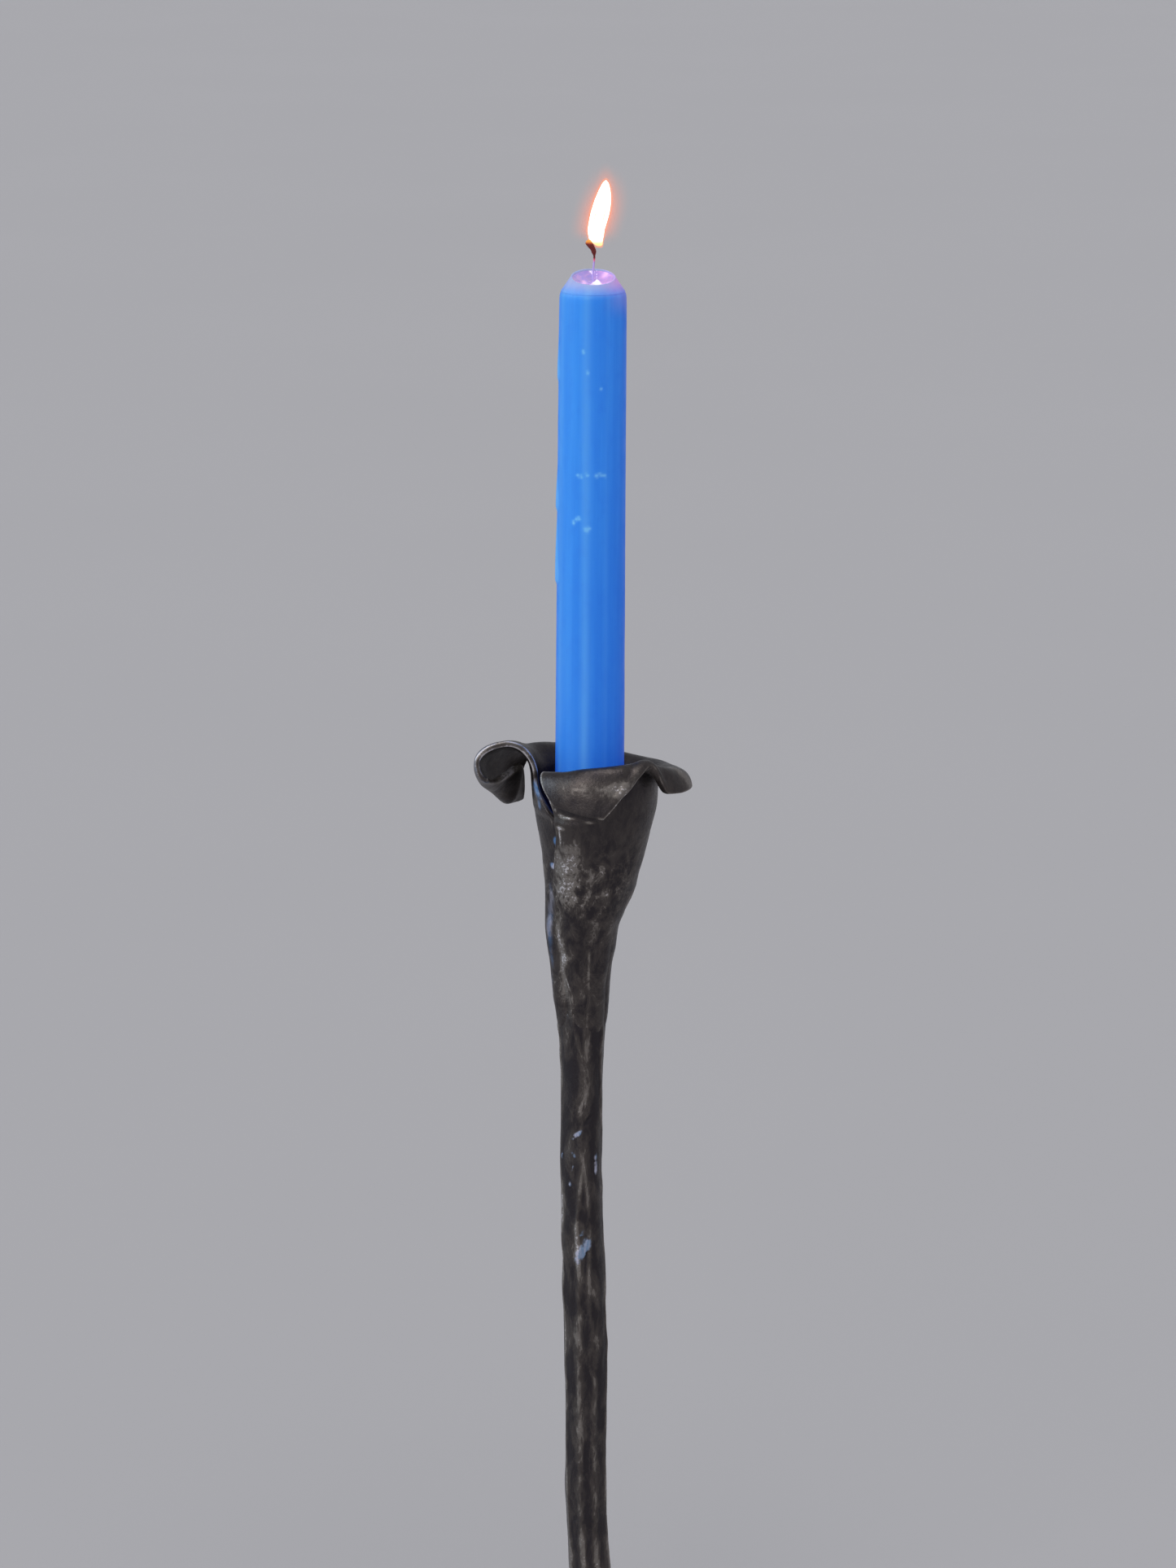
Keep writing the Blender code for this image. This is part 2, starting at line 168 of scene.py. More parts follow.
def soft_noise(points, scale, seed):
    """Smooth noise from -1 to 1 at points of shape (..., 3); scale is one size or one for each axis."""
    p = np.asarray(points, float) / np.asarray(scale, float)
    cell = np.floor(p).astype(np.int64)
    f = p - cell
    f = f * f * (3 - 2 * f)
    total = np.zeros(p.shape[:-1])
    for corner in itertools.product((0, 1), repeat=3):
        share = np.ones(p.shape[:-1])
        for axis in range(3):
            share = share * (f[..., axis] if corner[axis] else 1 - f[..., axis])
        at = cell + np.array(corner)
        total += share * lattice(at[..., 0], at[..., 1], at[..., 2], seed)
    return 2 * total - 1


def rough_noise(points, scale, seed):
    """Soft noise with finer and fainter layers over it."""
    total = 0.0
    size = 1.0
    for k in range(3):
        total = total + size * soft_noise(points, np.asarray(scale, float) / 2**k, seed + 17 * k)
        size *= 0.55
    return total / 1.7


def dented(points, layers):
    """Soft dents: the depth, the size across and the seed of each layer."""
    return sum(depth * soft_noise(points, size, seed) for depth, size, seed in layers)


def surface_normals(points):
    around = np.gradient(points, axis=0)
    along = np.gradient(points, axis=1)
    normal = np.cross(along, around)
    return normal / (np.linalg.norm(normal, axis=2, keepdims=True) + 1e-12)


def marks(angle, height, rows):
    """Soft spots: angle, height, half width, half height, strength, degrees of lean per millimetre up."""
    total = np.zeros_like(height)
    for middle, level, wide, tall, strength, lean in rows:
        away = turned(angle - (middle + lean * (height - level)))
        total += strength * bump(away, 0.0, wide) * bump(height, level, tall)
    return total


def slanted_marks(angle, height, rows):
    """The same, but the last column is the millimetres that a spot climbs per degree."""
    total = np.zeros_like(height)
    for middle, level, wide, tall, strength, climb in rows:
        away = turned(angle - middle)
        total += strength * bump(away, 0.0, wide) * bump(height - climb * away, level, tall)
    return total


# ---------------------------------------------------------------- meshes
def mesh_object(name, points, faces, attributes=None, smooth=True):
    """An object from points in millimetres, with one float attribute for each named array."""
    mesh = bpy.data.meshes.new(name)
    mesh.from_pydata((np.asarray(points, float) * MM).tolist(), [], faces)
    mesh.update()
    for key, values in (attributes or {}).items():
        layer = mesh.attributes.new(key, "FLOAT", "POINT")
        layer.data.foreach_set("value", np.asarray(values, np.float32).ravel())
    if smooth:
        mesh.shade_smooth()
    thing = bpy.data.objects.new(name, mesh)
    bpy.context.scene.collection.objects.link(thing)
    return thing


def grid_faces(columns, rows, start=0, closed=False, flip=False):
    """Quads of a grid whose vertex (i, j) has the index start + i * rows + j."""
    faces = []
    for i in range(columns if closed else columns - 1):
        here = start + i * rows
        beside = start + (i + 1) % columns * rows
        for j in range(rows - 1):
            quad = (here + j, beside + j, beside + j + 1, here + j + 1)
            faces.append(quad[::-1] if flip else quad)
    return faces


def fan_faces(columns, rows, row, centre, flip=False):
    """Triangles from one row of a closed grid to a vertex in its middle."""
    faces = [(i * rows + row, (i + 1) % columns * rows + row, centre) for i in range(columns)]
    return [face[::-1] for face in faces] if flip else faces


def round_points(radius, turn, level):
    """Points around an upright axis: radius and level for each row, or for each turn and row."""
    x = radius * np.cos(turn)[:, None]
    y = radius * np.sin(turn)[:, None]
    return np.stack([x, y, np.broadcast_to(level, x.shape)], axis=-1)


# ---------------------------------------------------------------- node materials
class Nodes:
    """A short way to write a material's nodes; noise scales are per metre of the object's own space."""

    def __init__(self, name):
        self.material = bpy.data.materials.new(name)
        self.material.use_nodes = True
        self.tree = self.material.node_tree
        self.shader = self.tree.nodes["Principled BSDF"]

    def add(self, kind, **settings):
        node = self.tree.nodes.new(kind)
        for key, value in settings.items():
            setattr(node, key, value)
        return node

    def link(self, source, target):
        self.tree.links.new(source, target)

    def feed(self, socket, value):
        if isinstance(value, bpy.types.NodeSocket):
            self.link(value, socket)
        elif isinstance(value, tuple) and len(value) == 3 and socket.type == "RGBA":
            socket.default_value = (*value, 1.0)
        else:
            socket.default_value = value

    def shade(self, name, value):
        """Give one of the shader's own inputs a node's output or a fixed value."""
        self.feed(self.shader.inputs[name], value)

    def value(self, name):
        """A painted vertex attribute."""
        return self.add("ShaderNodeAttribute", attribute_name=name).outputs["Fac"]

    def axes(self):
        """Object coordinates, one output for each of X, Y and Z."""
        split = self.add("ShaderNodeSeparateXYZ")
        self.link(self.add("ShaderNodeTexCoord").outputs["Object"], split.inputs[0])
        return split.outputs

    def place(self, stretch):
        """Object coordinates in metres, stretched."""
        coords = self.add("ShaderNodeTexCoord").outputs["Object"]
        mapping = self.add("ShaderNodeMapping")
        mapping.inputs["Scale"].default_value = stretch
        self.link(coords, mapping.inputs["Vector"])
        return mapping.outputs["Vector"]

    def noise(self, scale, detail, rough, stretch=(1.0, 1.0, 1.0), distort=0.0):
        node = self.add("ShaderNodeTexNoise")
        settings = {"Scale": scale, "Detail": detail, "Roughness": rough, "Distortion": distort}
        for key, number in settings.items():
            node.inputs[key].default_value = number
        self.link(self.place(stretch), node.inputs["Vector"])
        return node.outputs["Fac"]

    def cells(self, scale):
        node = self.add("ShaderNodeTexVoronoi")
        node.inputs["Scale"].default_value = scale
        self.link(self.place((1.0, 1.0, 1.0)), node.inputs["Vector"])
        return node.outputs["Distance"]

    def math(self, operation, a, b=0.0, clamp=False):
        node = self.add("ShaderNodeMath", operation=operation, use_clamp=clamp)
        self.feed(node.inputs[0], a)
        self.feed(node.inputs[1], b)
        return node.outputs[0]

    def jitter(self, value, noise, amount):
        """The value moved up and down by a noise that swings about one half."""
        return self.math("ADD", value, self.math("MULTIPLY", self.math("SUBTRACT", noise, 0.5), amount))

    def span(self, value, low, high, to_low=0.0, to_high=1.0):
        node = self.add("ShaderNodeMapRange", interpolation_type="SMOOTHSTEP")
        self.feed(node.inputs["Value"], value)
        for key, number in (("From Min", low), ("From Max", high), ("To Min", to_low), ("To Max", to_high)):
            self.feed(node.inputs[key], number)
        return node.outputs["Result"]

    def peak(self, value, middle, half):
        """1 at a height in millimetres, falling to 0 half a width away on each side."""
        away = self.math("ABSOLUTE", self.math("SUBTRACT", value, middle * MM))
        return self.span(away, 0.0, half * MM, 1.0, 0.0)

    def mix(self, share, a, b):
        node = self.add("ShaderNodeMix", data_type="RGBA")
        self.feed(node.inputs["Factor"], share)
        self.feed(node.inputs["A"], a)
        self.feed(node.inputs["B"], b)
        return node.outputs["Result"]

    def relief(self, layers):
        """Bump nodes one after the other: (height, distance in millimetres, strength) for each."""
        normal = None
        for height, distance, strength in layers:
            node = self.add("ShaderNodeBump")
            node.inputs["Distance"].default_value = distance * MM
            node.inputs["Strength"].default_value = strength
            self.feed(node.inputs["Height"], height)
            if normal is not None:
                self.link(normal, node.inputs["Normal"])
            normal = node.outputs["Normal"]
        self.link(normal, self.shader.inputs["Normal"])


SCALE_AND_SHADE_DARK = (0.034, 0.029, 0.033)
SCALE_BROWN = (0.080, 0.068, 0.064)
RUBBED_AND_LIT_BROWN = (0.198, 0.176, 0.162)
RUBBED_AND_GLINT_BRIGHT = (0.62, 0.59, 0.61)
PALE_WAX_AND_SHEEN = (0.40, 0.40, 0.52)
WAX_AND_SHEEN_BLUE = (0.06, 0.17, 0.38)
WAX_FAINT = (0.14, 0.22, 0.36)


def iron_material(name, grain_stretch, vein=0.0, wax_and_sheen_tint=WAX_AND_SHEEN_BLUE):
    """Blackened forged iron: dark scale in blotches, brown where thin, bright on ridges, with wax drips; its
    painted highlights, painted bluish reflection and painted shade go through the same colours.
    """
    n = Nodes(name)
    rubbed_and_shading = n.value("rubbed_and_shading")
    wax_and_sheen = n.value("wax_and_sheen")
    broad = n.noise(95.0, 3.0, 0.55, grain_stretch, 0.4)
    patch = n.noise(235.0, 8.0, 0.64, grain_stretch, 0.5)
    fine = n.noise(1500.0, 4.0, 0.65)
    grain = n.noise(1000.0, 2.0, 0.5)
    speckle = n.cells(1900.0)
    vein_noise = n.noise(190.0, 5.0, 0.6, grain_stretch, 1.2)
    vein_line = n.span(n.math("ABSOLUTE", n.math("SUBTRACT", vein_noise, 0.5)), 0.0, 0.035, vein, 0.0)
    blotches = n.math("MULTIPLY", n.math("SUBTRACT", patch, 0.5), 3.6)
    blotches = n.math("ADD", n.jitter(blotches, broad, 1.5), vein_line)
    skin = n.value("skin")
    mottled = n.math("ADD", rubbed_and_shading, n.math("MULTIPLY", blotches, n.math("SUBTRACT", 1.0, skin)))
    # Dark scale, brown and bright metal: these steps show wear, and also painted highlight where the value
    # is high and painted shade where it is low.
    thin_and_lit = n.span(mottled, -0.25, 0.35)
    brown_share = n.span(mottled, 0.30, 0.62)
    bright_share = n.span(n.jitter(mottled, fine, 2.4), 0.80, 1.35)
    colour = n.mix(thin_and_lit, SCALE_AND_SHADE_DARK, SCALE_BROWN)
    colour = n.mix(brown_share, colour, RUBBED_AND_LIT_BROWN)
    colour = n.mix(bright_share, colour, RUBBED_AND_GLINT_BRIGHT)
    wax_and_sheen_share = n.span(n.jitter(wax_and_sheen, patch, 0.9), 0.28, 0.95)
    wax_and_sheen_colour = n.mix(n.span(vein_noise, 0.42, 0.58), wax_and_sheen_tint, PALE_WAX_AND_SHEEN)
    colour = n.mix(n.math("MULTIPLY", wax_and_sheen_share, 0.85), colour, wax_and_sheen_colour)
    n.shade("Base Color", colour)
    n.shade("Metallic", n.math("SUBTRACT", 0.82, n.math("MULTIPLY", wax_and_sheen_share, 0.8)))
    rough = n.span(fine, 0.3, 0.7, 0.36, 0.52)
    rough = n.math("ADD", rough, n.math("MULTIPLY", brown_share, 0.08))
    n.shade("Roughness", n.math("SUBTRACT", rough, n.math("MULTIPLY", skin, 0.07)))
    n.relief([
        (broad, 0.4, 0.3), (patch, 0.35, 0.5), (fine, 0.06, 0.6), (speckle, 0.05, 0.5), (grain, 0.14, 0.45),
    ])
    return n.material


# ---------------------------------------------------------------- flower
EDGE_ROUND = 0.75
# Shares of a round edge where the grid has its extra rows.
EDGE_STEPS = np.array([0.0, 0.02, 0.08, 0.2, 0.4, 0.62, 0.85])
# The usual length of the sheet around the mouth, and of its rolled rim.
SHEET_AROUND = 110.0
RIM_LENGTH = 22.0
FOOT_TAPER = 11.0
FLOWER_DENTS = [(0.30, 9.0, 3), (0.14, 4.2, 5), (0.132, 15.0, 8)]


def lap_share(inner_edge, outer_edge):
    """1 where the sheet's two side edges lap over each other, 0 where they stand apart."""
    return np.clip((inner_edge - outer_edge + 6.0) / 5.0, 0.0, 1.0)


def lip_section(crest_rise, half_width, half_drop, half_return, hook, end_angle, lean, wanted):
    """Distance out and up along the rolled rim, at the wanted shares of its length."""
    turn = np.radians(end_angle) * np.linspace(0.0, 1.0, 700)
    c = np.cos(turn)
    s = np.sin(turn)
    rising = half_width * (1 - c) + lean * crest_rise * s * (1 - turn / math.pi)
    out = np.where(turn < math.pi, rising, 2 * half_width - half_return * (1 + c))
    up = np.where(turn < math.pi / 2, crest_rise * s, crest_rise - half_drop * (1 - s))
    hooked = crest_rise - 2 * half_drop + hook * (1 + s)
    up = np.where(turn > 1.5 * math.pi, hooked, up)
    along = np.concatenate([[0.0], np.cumsum(np.hypot(np.diff(out), np.diff(up)))])
    return np.interp(wanted * along[-1], along, out), np.interp(wanted * along[-1], along, up)


def flower_surface(columns, wall_rows, lip_rows):
    """The middle of the sheet, columns around by rows up, closer together near its free edges."""
    near = EDGE_STEPS * EDGE_ROUND / SHEET_AROUND
    share = np.concatenate([near, np.linspace(0.012, 0.988, columns), 1 - near[::-1]])
    near = EDGE_STEPS * EDGE_ROUND / RIM_LENGTH
    wanted = np.concatenate([np.linspace(0.0, 1 - 2 * near[-1], lip_rows)[1:], 1 - near[::-1]])
    angle = RIM_FIRST_ANGLE + share * (RIM_LAST_ANGLE - RIM_FIRST_ANGLE)
    rim = smooth_rows(RIM, angle)
    table = np.array(sorted(RIM), float)
    rim[:, DROP_COLUMN - 1] = np.interp(angle, table[:, 0], table[:, DROP_COLUMN])
    points = np.zeros((len(share), wall_rows + 1 + len(wanted), 3))
    rows = np.linspace(0.0, 1.0, wall_rows + 1)
    for column, part, section in zip(points, share, rim):
        crest, rise, half_width, half_drop, half_return, hook, end_angle, drift = section
        top = crest - rise
        height = FLOWER_FOOT + (top - FLOWER_FOOT) * rows
        centre, radius = smooth_rows(WALL, height).T
        inner_edge, outer_edge = smooth_rows(SEAM, height).T
        turn = np.radians(inner_edge + part * (outer_edge - 360.0 - inner_edge))
        inward = LAP_INWARD * (1 - ease(part, 0.05, 0.16))
        outward = LAP_OUTWARD * ease(part, 0.86, 0.97)
        middle = radius - SHEET_THICKNESS / 2 + lap_share(inner_edge, outer_edge) * (outward - inward)
        wall = [centre + middle * np.cos(turn), middle * np.sin(turn), height]
        column[: wall_rows + 1] = np.transpose(wall)
        below, above = smooth_rows(WALL, [top - 0.5, top + 0.5])[:, 1]
        lean = above - below
        out, up = lip_section(rise, half_width, half_drop, half_return, hook, end_angle, lean, wanted)
        drifted = turn[-1] + np.radians(drift) * wanted**1.5
        reach = middle[-1] + out
        lip = [centre[-1] + reach * np.cos(drifted), reach * np.sin(drifted), top + up]
        column[wall_rows + 1 :] = np.transpose(lip)
    return points, share


# Light (positive) and dark (negative) patches on the outside of the wall.
# Angle from the front, height, half width in degrees, half height, strength, lean in degrees per millimetre.
# The first row is a painted highlight, the glint on the hammered patch; the row at 44 degrees and 336 is
# painted shadow under the rim's arch.
WALL_PATCHES = [
    (-27, 316, 17, 11.5, 0.7, 0), (-40, 294, 11, 10, 0.72, 0.6), (-36, 281, 10, 10, 0.74, 0.4),
    (-25, 271, 5, 5, 0.3, 0), (11, 314, 4.5, 3, 0.45, 0), (16, 302, 9, 7, 0.5, 0), (22, 293, 8, 4, 0.45, 0),
    (35, 316, 16, 11, 0.16, 0), (-14, 293.5, 8, 2, 0.5, 0), (15, 279, 3.2, 11, 0.5, -0.3),
    (12, 265, 3.6, 7, 0.38, 0), (-5, 318, 8, 9, -0.45, 0), (-10, 299.5, 18, 4, -0.65, 0),
    (-17, 288, 6, 4, -0.5, 0), (-3, 278, 12, 11, -0.65, 0), (-3, 266, 9, 6, -0.45, 0),
    (38, 281, 14, 13, -0.55, 0), (42, 267, 14, 8, -0.45, 0), (44, 336, 22, 9, -0.45, 0),
    (60, 302, 20, 20, -0.3, 0),
]
# Thin bright scratches and lap marks, then wax drips, whose last three rows are a painted bluish reflection
# down the left side: the same columns.
WALL_SCRATCHES = [
    (-26.5, 333.2, 7, 0.55, 1.4, 0), (-33, 334, 4, 0.45, 0.9, 0), (-5, 332.2, 5, 0.5, 1.1, 0),
    (-34, 329.6, 4.5, 0.55, 1.2, 0), (-35.5, 327, 1.2, 2.6, 1.3, 0), (-49.5, 331, 1, 1.5, 0.9, 0),
    (-39, 335.4, 1.2, 0.6, 0.9, 0), (-24, 276.3, 1.4, 3.4, 0.7, -2), (-16, 270, 1.4, 2.6, 0.7, 0),
    (-46, 306.5, 1.5, 3.4, -1.2, -2.9),
]
WALL_WAX_AND_SHEEN = [
    (-66, 341, 9, 3.6, 0.95, 0), (-64, 335, 5, 2, 0.75, 0), (-46, 324.2, 4, 1.7, 1.2, 0),
    (-58, 315.2, 6, 1, 1.25, 0), (-64, 303, 12, 12, 0.5, 0), (-70, 288, 12, 11, 0.5, 0),
    (-82, 270, 12, 9, 0.42, 0),
]


def fold_groove(front_angle, height):
    """0 in the lengthwise grooves that forging left around the neck, 1 between them."""
    wander = 5.0 + 9.0 * np.sin(height / 38.0) + 5.0 * np.sin(height / 13.0 + 1.0)
    return np.abs(np.sin(np.radians(3.5 * (front_angle - wander))))


def sheet_measures(points, share, wall_rows):
    """Where each point of the sheet lies: its height, its angles, and how far off the free edges are."""
    s = SimpleNamespace(points=points, height=points[..., 2])
    centre = smooth_rows(WALL, s.height.ravel())[:, 0].reshape(s.height.shape)
    s.front = np.degrees(np.arctan2(points[..., 0] - centre, -points[..., 1]))
    s.rim_angle = (RIM_FIRST_ANGLE + share * (RIM_LAST_ANGLE - RIM_FIRST_ANGLE))[:, None]
    s.on_wall = (np.arange(points.shape[1]) <= wall_rows)[None, :] * np.ones_like(s.height)
    s.lip = 1 - s.on_wall
    across = np.linalg.norm(np.diff(points, axis=0), axis=2)
    s.from_a = np.concatenate([np.zeros((1, points.shape[1])), np.cumsum(across, axis=0)])
    s.from_b = s.from_a[-1] - s.from_a
    along = np.linalg.norm(np.diff(points, axis=1), axis=2)
    from_foot = np.concatenate([np.zeros((points.shape[0], 1)), np.cumsum(along, axis=1)], axis=1)
    s.from_rim = from_foot[:, -1:] - from_foot
    s.nearest = np.minimum(np.minimum(s.from_a, s.from_b), s.from_rim)
    s.scratches = marks(s.front, s.height, WALL_SCRATCHES) * s.on_wall
    return s


def forged_relief(s):
    """On the outside: folds running up from the neck, fine hatching, raised scratches."""
    low = 1 - ease(s.height, 268.0, 312.0)
    groove = fold_groove(s.front, s.height)
    fold = -0.55 * (1 - groove) ** 2 * low * (0.6 + 0.6 * soft_noise(s.points, (6.0, 6.0, 22.0), 11))
    hatch = 0.07 * soft_noise(s.points, (5.0, 5.0, 0.9), 21)
    hatch = hatch * bump(s.front, -30.0, 26.0) * bump(s.height, 312.0, 13.0)
    return fold + hatch + 0.12 * np.clip(s.scratches, -1.5, 1.5)


def half_thickness(s):
    """Half the sheet's thickness, swollen along the front rim where hammering upset it."""
    upset = 0.45 * ease(s.rim_angle, -90.0, -70.0) * (1 - ease(s.rim_angle, -30.0, 0.0))
    upset = (upset + 0.5 * bump(s.rim_angle, CUT_CORNER, 24.0)) * (1 - ease(s.from_rim, 1.5, 5.0))
    return 0.5 * SHEET_THICKNESS * (1.0 + upset + 0.10 * soft_noise(s.points, 6.0, 31))


def sheet_sides(s):
    """The outer and the inner side: dented, nearly square at the free edges, thinner towards the foot."""
    normal = surface_normals(s.points)
    middle = s.points + normal * dented(s.points, FLOWER_DENTS)[..., None]
    rounding = (1 - (1 - np.clip(s.nearest / EDGE_ROUND, 0, 1)) ** 3) ** (1 / 2.2)
    # The outer layer's side edge is feathered down onto the wall, but not up at the flap.
    feather = np.maximum(ease(s.from_b, 0.0, 5.0), ease(s.height, 326.0, 336.0))
    half = half_thickness(s) * rounding
    outer_half = half * np.where(s.on_wall > 0, 0.25 + 0.75 * feather, 1.0)
    taper = ease(s.height, FLOWER_FOOT, FLOWER_FOOT + FOOT_TAPER)
    pitted = 0.06 * rough_noise(s.points, 2.4, 41)
    outward = outer_half + (forged_relief(s) + pitted) * rounding - 1.1 * (1 - taper)
    outer = middle + normal * outward[..., None]
    inner = middle - normal * (half * (0.2 + 0.8 * taper))[..., None]
    return outer, inner


def join_sides(s, outer, inner):
    """One closed skin of both sides, which share the points of the free edges and of the foot."""
    columns, rows = s.height.shape
    shared = ((s.nearest <= 1e-9) | (np.arange(rows) == 0)[None, :]).ravel()
    index_inner = np.arange(columns * rows)
    index_inner[~shared] = len(index_inner) + np.arange((~shared).sum())
    faces = grid_faces(columns, rows)
    faces += index_inner[np.array(grid_faces(columns, rows, flip=True))].tolist()
    return np.concatenate([outer.reshape(-1, 3), inner.reshape(-1, 3)[~shared]]), faces, ~shared


# Places along the rim, in degrees: where the flap's fold shines most, the cut corner right of the flap,
# the glint on the right lip, and the middle of the free edge that shows inside the scroll.
FOLD_SHINE = -73.0
CUT_CORNER = -57.0
LIP_GLINT = -11.0
ROLLED_IN = 173.0
FOLD_HEIGHT = 344.4


def edge_wear_and_glints(s):
    """The bright corners of the free edges, rubbed and with a painted highlight: along the rim, down the
    scroll's side and the flap's side.
    """
    rim = bump(s.from_rim, 0.40, 0.42) * np.interp(s.rim_angle[:, 0], *np.array(RIM_WEAR_AND_GLINT, float).T)[:, None]
    scroll = bump(s.from_a, 0.24, 0.20) * ease(s.height, 343.5, 346.5) * 2.4
    flap = bump(s.from_b, 0.40, 0.45) * (0.35 + 1.0 * ease(s.height, 334.0, 339.0))
    return np.maximum(np.maximum(rim, scroll), flap) * (0.8 + 0.5 * soft_noise(s.points, 2.5, 51))


def wall_wear_and_shading(s):
    """The outside: light and dark patches, finely hatched where the wall faces the hammer, with a painted
    glint among them; painted shadow just under the front of the rim; painted shade on the lips' outer side.
    """
    # Darker just under the front of the rim: painted shadow of the flap.
    body = 0.03 - 0.12 * bump(s.front, 10.0, 60.0) * bump(s.height, 332.0, 9.0)
    hatching = 0.55 * soft_noise(s.points, (2.6, 2.6, 0.55), 55)
    hatched = 1 + hatching * bump(s.front, -31.0, 22.0) * bump(s.height, 314.0, 14.0)
    patches = marks(s.front, s.height, WALL_PATCHES) * hatched
    # The lips' outer side, under them and inside the scroll, is darkened: painted shade.
    return body + (patches + s.scratches) * s.on_wall - 0.3 * s.lip


def lip_highlights_and_shade(s):
    """The lips' upper side: painted highlights on the flap's fold, its thick right edge and the right lip
    with its glint; painted shade low on the flap and inside the scroll.
    """
    front_lip = s.lip * ease(-s.points[..., 1], 9.0, 15.0)
    shine = 0.60 + 0.08 * bump(s.rim_angle, -104.0, 12.0) + 0.42 * bump(s.rim_angle, FOLD_SHINE, 13.0)
    fold = bump(s.height, FOLD_HEIGHT, 3.2) * shine * front_lip * (1 - ease(s.rim_angle, -66.0, -58.0))
    fold = fold * ease(s.rim_angle, -130.0, -116.0) * (1 + 0.3 * soft_noise(s.points, 0.9, 53))
    thick_edge = bump(s.from_rim, 1.4, 2.4) * bump(s.rim_angle, -66.0, 15.0)
    right_lip = ease(s.rim_angle, -66.0, -50.0) * (1 - ease(s.rim_angle, 0.0, 20.0)) * s.lip
    glint = bump(s.rim_angle + 0.9 * s.from_rim, LIP_GLINT, 4.5) * s.lip
    lit = np.maximum(np.maximum(0.78 * fold, 0.55 * thick_edge), 0.22 * right_lip + 0.55 * glint)
    # Painted shade on the flap below its fold.
    below_fold = (1 - ease(s.height, 338.5, 342.0)) * front_lip
    lip_shading = -0.12 + lit - 0.4 * below_fold * (1 - thick_edge)
    # Painted shade inside the scroll.
    return lip_shading - 0.35 * s.lip * ease(-s.points[..., 0], 16.0, 22.0)


def flower_paint(s):
    """For the outer and the inner side: how rubbed, with painted highlights and painted shade, how waxed,
    with a painted bluish reflection, and how evenly blackened the iron is.
    """
    cut_face = (1 - ease(s.from_rim, 0.1, 0.3)) * bump(s.rim_angle, CUT_CORNER, 28.0)
    # The rolled-in free edge is painted light: rubbed metal and blue wax made bright although it lies in the
    # scroll's shade.
    free_edge = (1 - ease(s.from_rim, 1.4, 2.4)) * bump(s.rim_angle, ROLLED_IN, 11.0) * s.lip
    bright = np.maximum(edge_wear_and_glints(s), np.maximum(0.42 * cut_face, 1.3 * free_edge))
    skin = 0.75 * np.maximum(ease(s.height, 306.0, 330.0), s.lip)
    skin = skin * (1 - 0.15 * bump(s.front, -32.0, 16.0) * bump(s.height, 316.0, 10.0))
    skin = np.maximum(skin, 0.45 * (1 - ease(s.height, 296.0, 306.0)))
    # Blue wax: drips on the wall, with a painted bluish reflection among them, a glaze on the scroll's outer
    # edge, and both on its rolled-in edge.
    drips_and_sheen = marks(s.front, s.height, WALL_WAX_AND_SHEEN) * s.on_wall
    glaze = 0.6 * ease(-s.points[..., 0], 26.0, 31.0) * bump(s.from_a, 0.9, 1.3) * s.lip
    return {
        "rubbed_and_shading": (np.maximum(wall_wear_and_shading(s), bright), np.maximum(lip_highlights_and_shade(s), bright)),
        "wax_and_sheen": (np.maximum(drips_and_sheen, 0.5 * free_edge), np.maximum(glaze, 0.5 * free_edge)),
        "skin": (skin, skin),
    }


def make_flower():
    columns, wall_rows, lip_rows = ((380, 190, 120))
    s = sheet_measures(*flower_surface(columns, wall_rows, lip_rows), wall_rows)
    points, faces, own_inner = join_sides(s, *sheet_sides(s))
    attributes = {
        name: np.concatenate([outer.ravel(), inner.ravel()[own_inner]])
        for name, (outer, inner) in flower_paint(s).items()
    }
    flower = mesh_object("flower_sheet", points, faces, attributes)
    flower.data.materials.append(iron_material("forged_iron_look", (1.0, 1.0, 0.6), 0.35))
    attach(flower, "holder")
    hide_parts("flower")


# ---------------------------------------------------------------- stem
# Two lengthwise raised bands left by forging: height, first band's angle and half width, second band's.
BANDS = [
    (8, -16, 12, 24, 12), (80, -17, 11, 22, 12), (95, -16, 11, 23.5, 10), (124, -16.5, 11, 25, 8),
    (152, -17.5, 12, 25.6, 9), (166, -14.5, 10, 14, 6), (180, -12, 8, 16, 6), (192, -16, 6, 22, 7),
    (203, -6, 9, 15, 9), (215, 2, 13, 9, 13), (248, 0, 13, 10, 13), (262, -20, 7, 12, 8),
    (290, -28, 7, 18, 7),
]


def band_height(front, height):
    """1 on the raised bands, 0 in the hollows between them; the pattern is turned for the other sides."""
    total = np.zeros_like(height)
    for quarter in range(4):
        level = np.clip(height + (0.0, 31.0, -24.0, 17.0)[quarter], BANDS[0][0], BANDS[-1][0])
        bands = smooth_rows(BANDS, level.ravel()).T.reshape(4, *height.shape)
        wobble = (0.0, 2.0, 3.0, 4.0)[quarter] * np.sin(height / 11.0)
        for middle, half in (bands[:2], bands[2:]):
            away = turned(front - 90.0 * quarter - wobble - middle)
            total = np.maximum(total, bump(away, 0.0, half))
    return total


# Wax splashes: angle from the front, height, half width in degrees, half height, strength,
# millimetres up per degree.
SPLASHES = [
    (-11.7, 224.1, 14, 1, 1.3, 0.085), (-22, 217, 10, 0.8, 0.85, -0.06), (-24, 213, 8, 1, 0.8, 0.16),
    (-66, 215.7, 7, 1.5, 0.7, 0), (44, 214, 7.5, 4, 1.00, -0.05), (-36, 207, 7, 1.2, 0.55, -0.05),
    (13, 186.5, 11, 2.4, 1.25, 0.05), (-8, 183, 14, 2.6, 1.05, 0.1), (0, 190.5, 9, 1, 0.6, 0.1),
]
STEM_TOP = 286.0
STEM_DENTS = [(0.26, 10.0, 63), (0.14, 5.0, 65)]
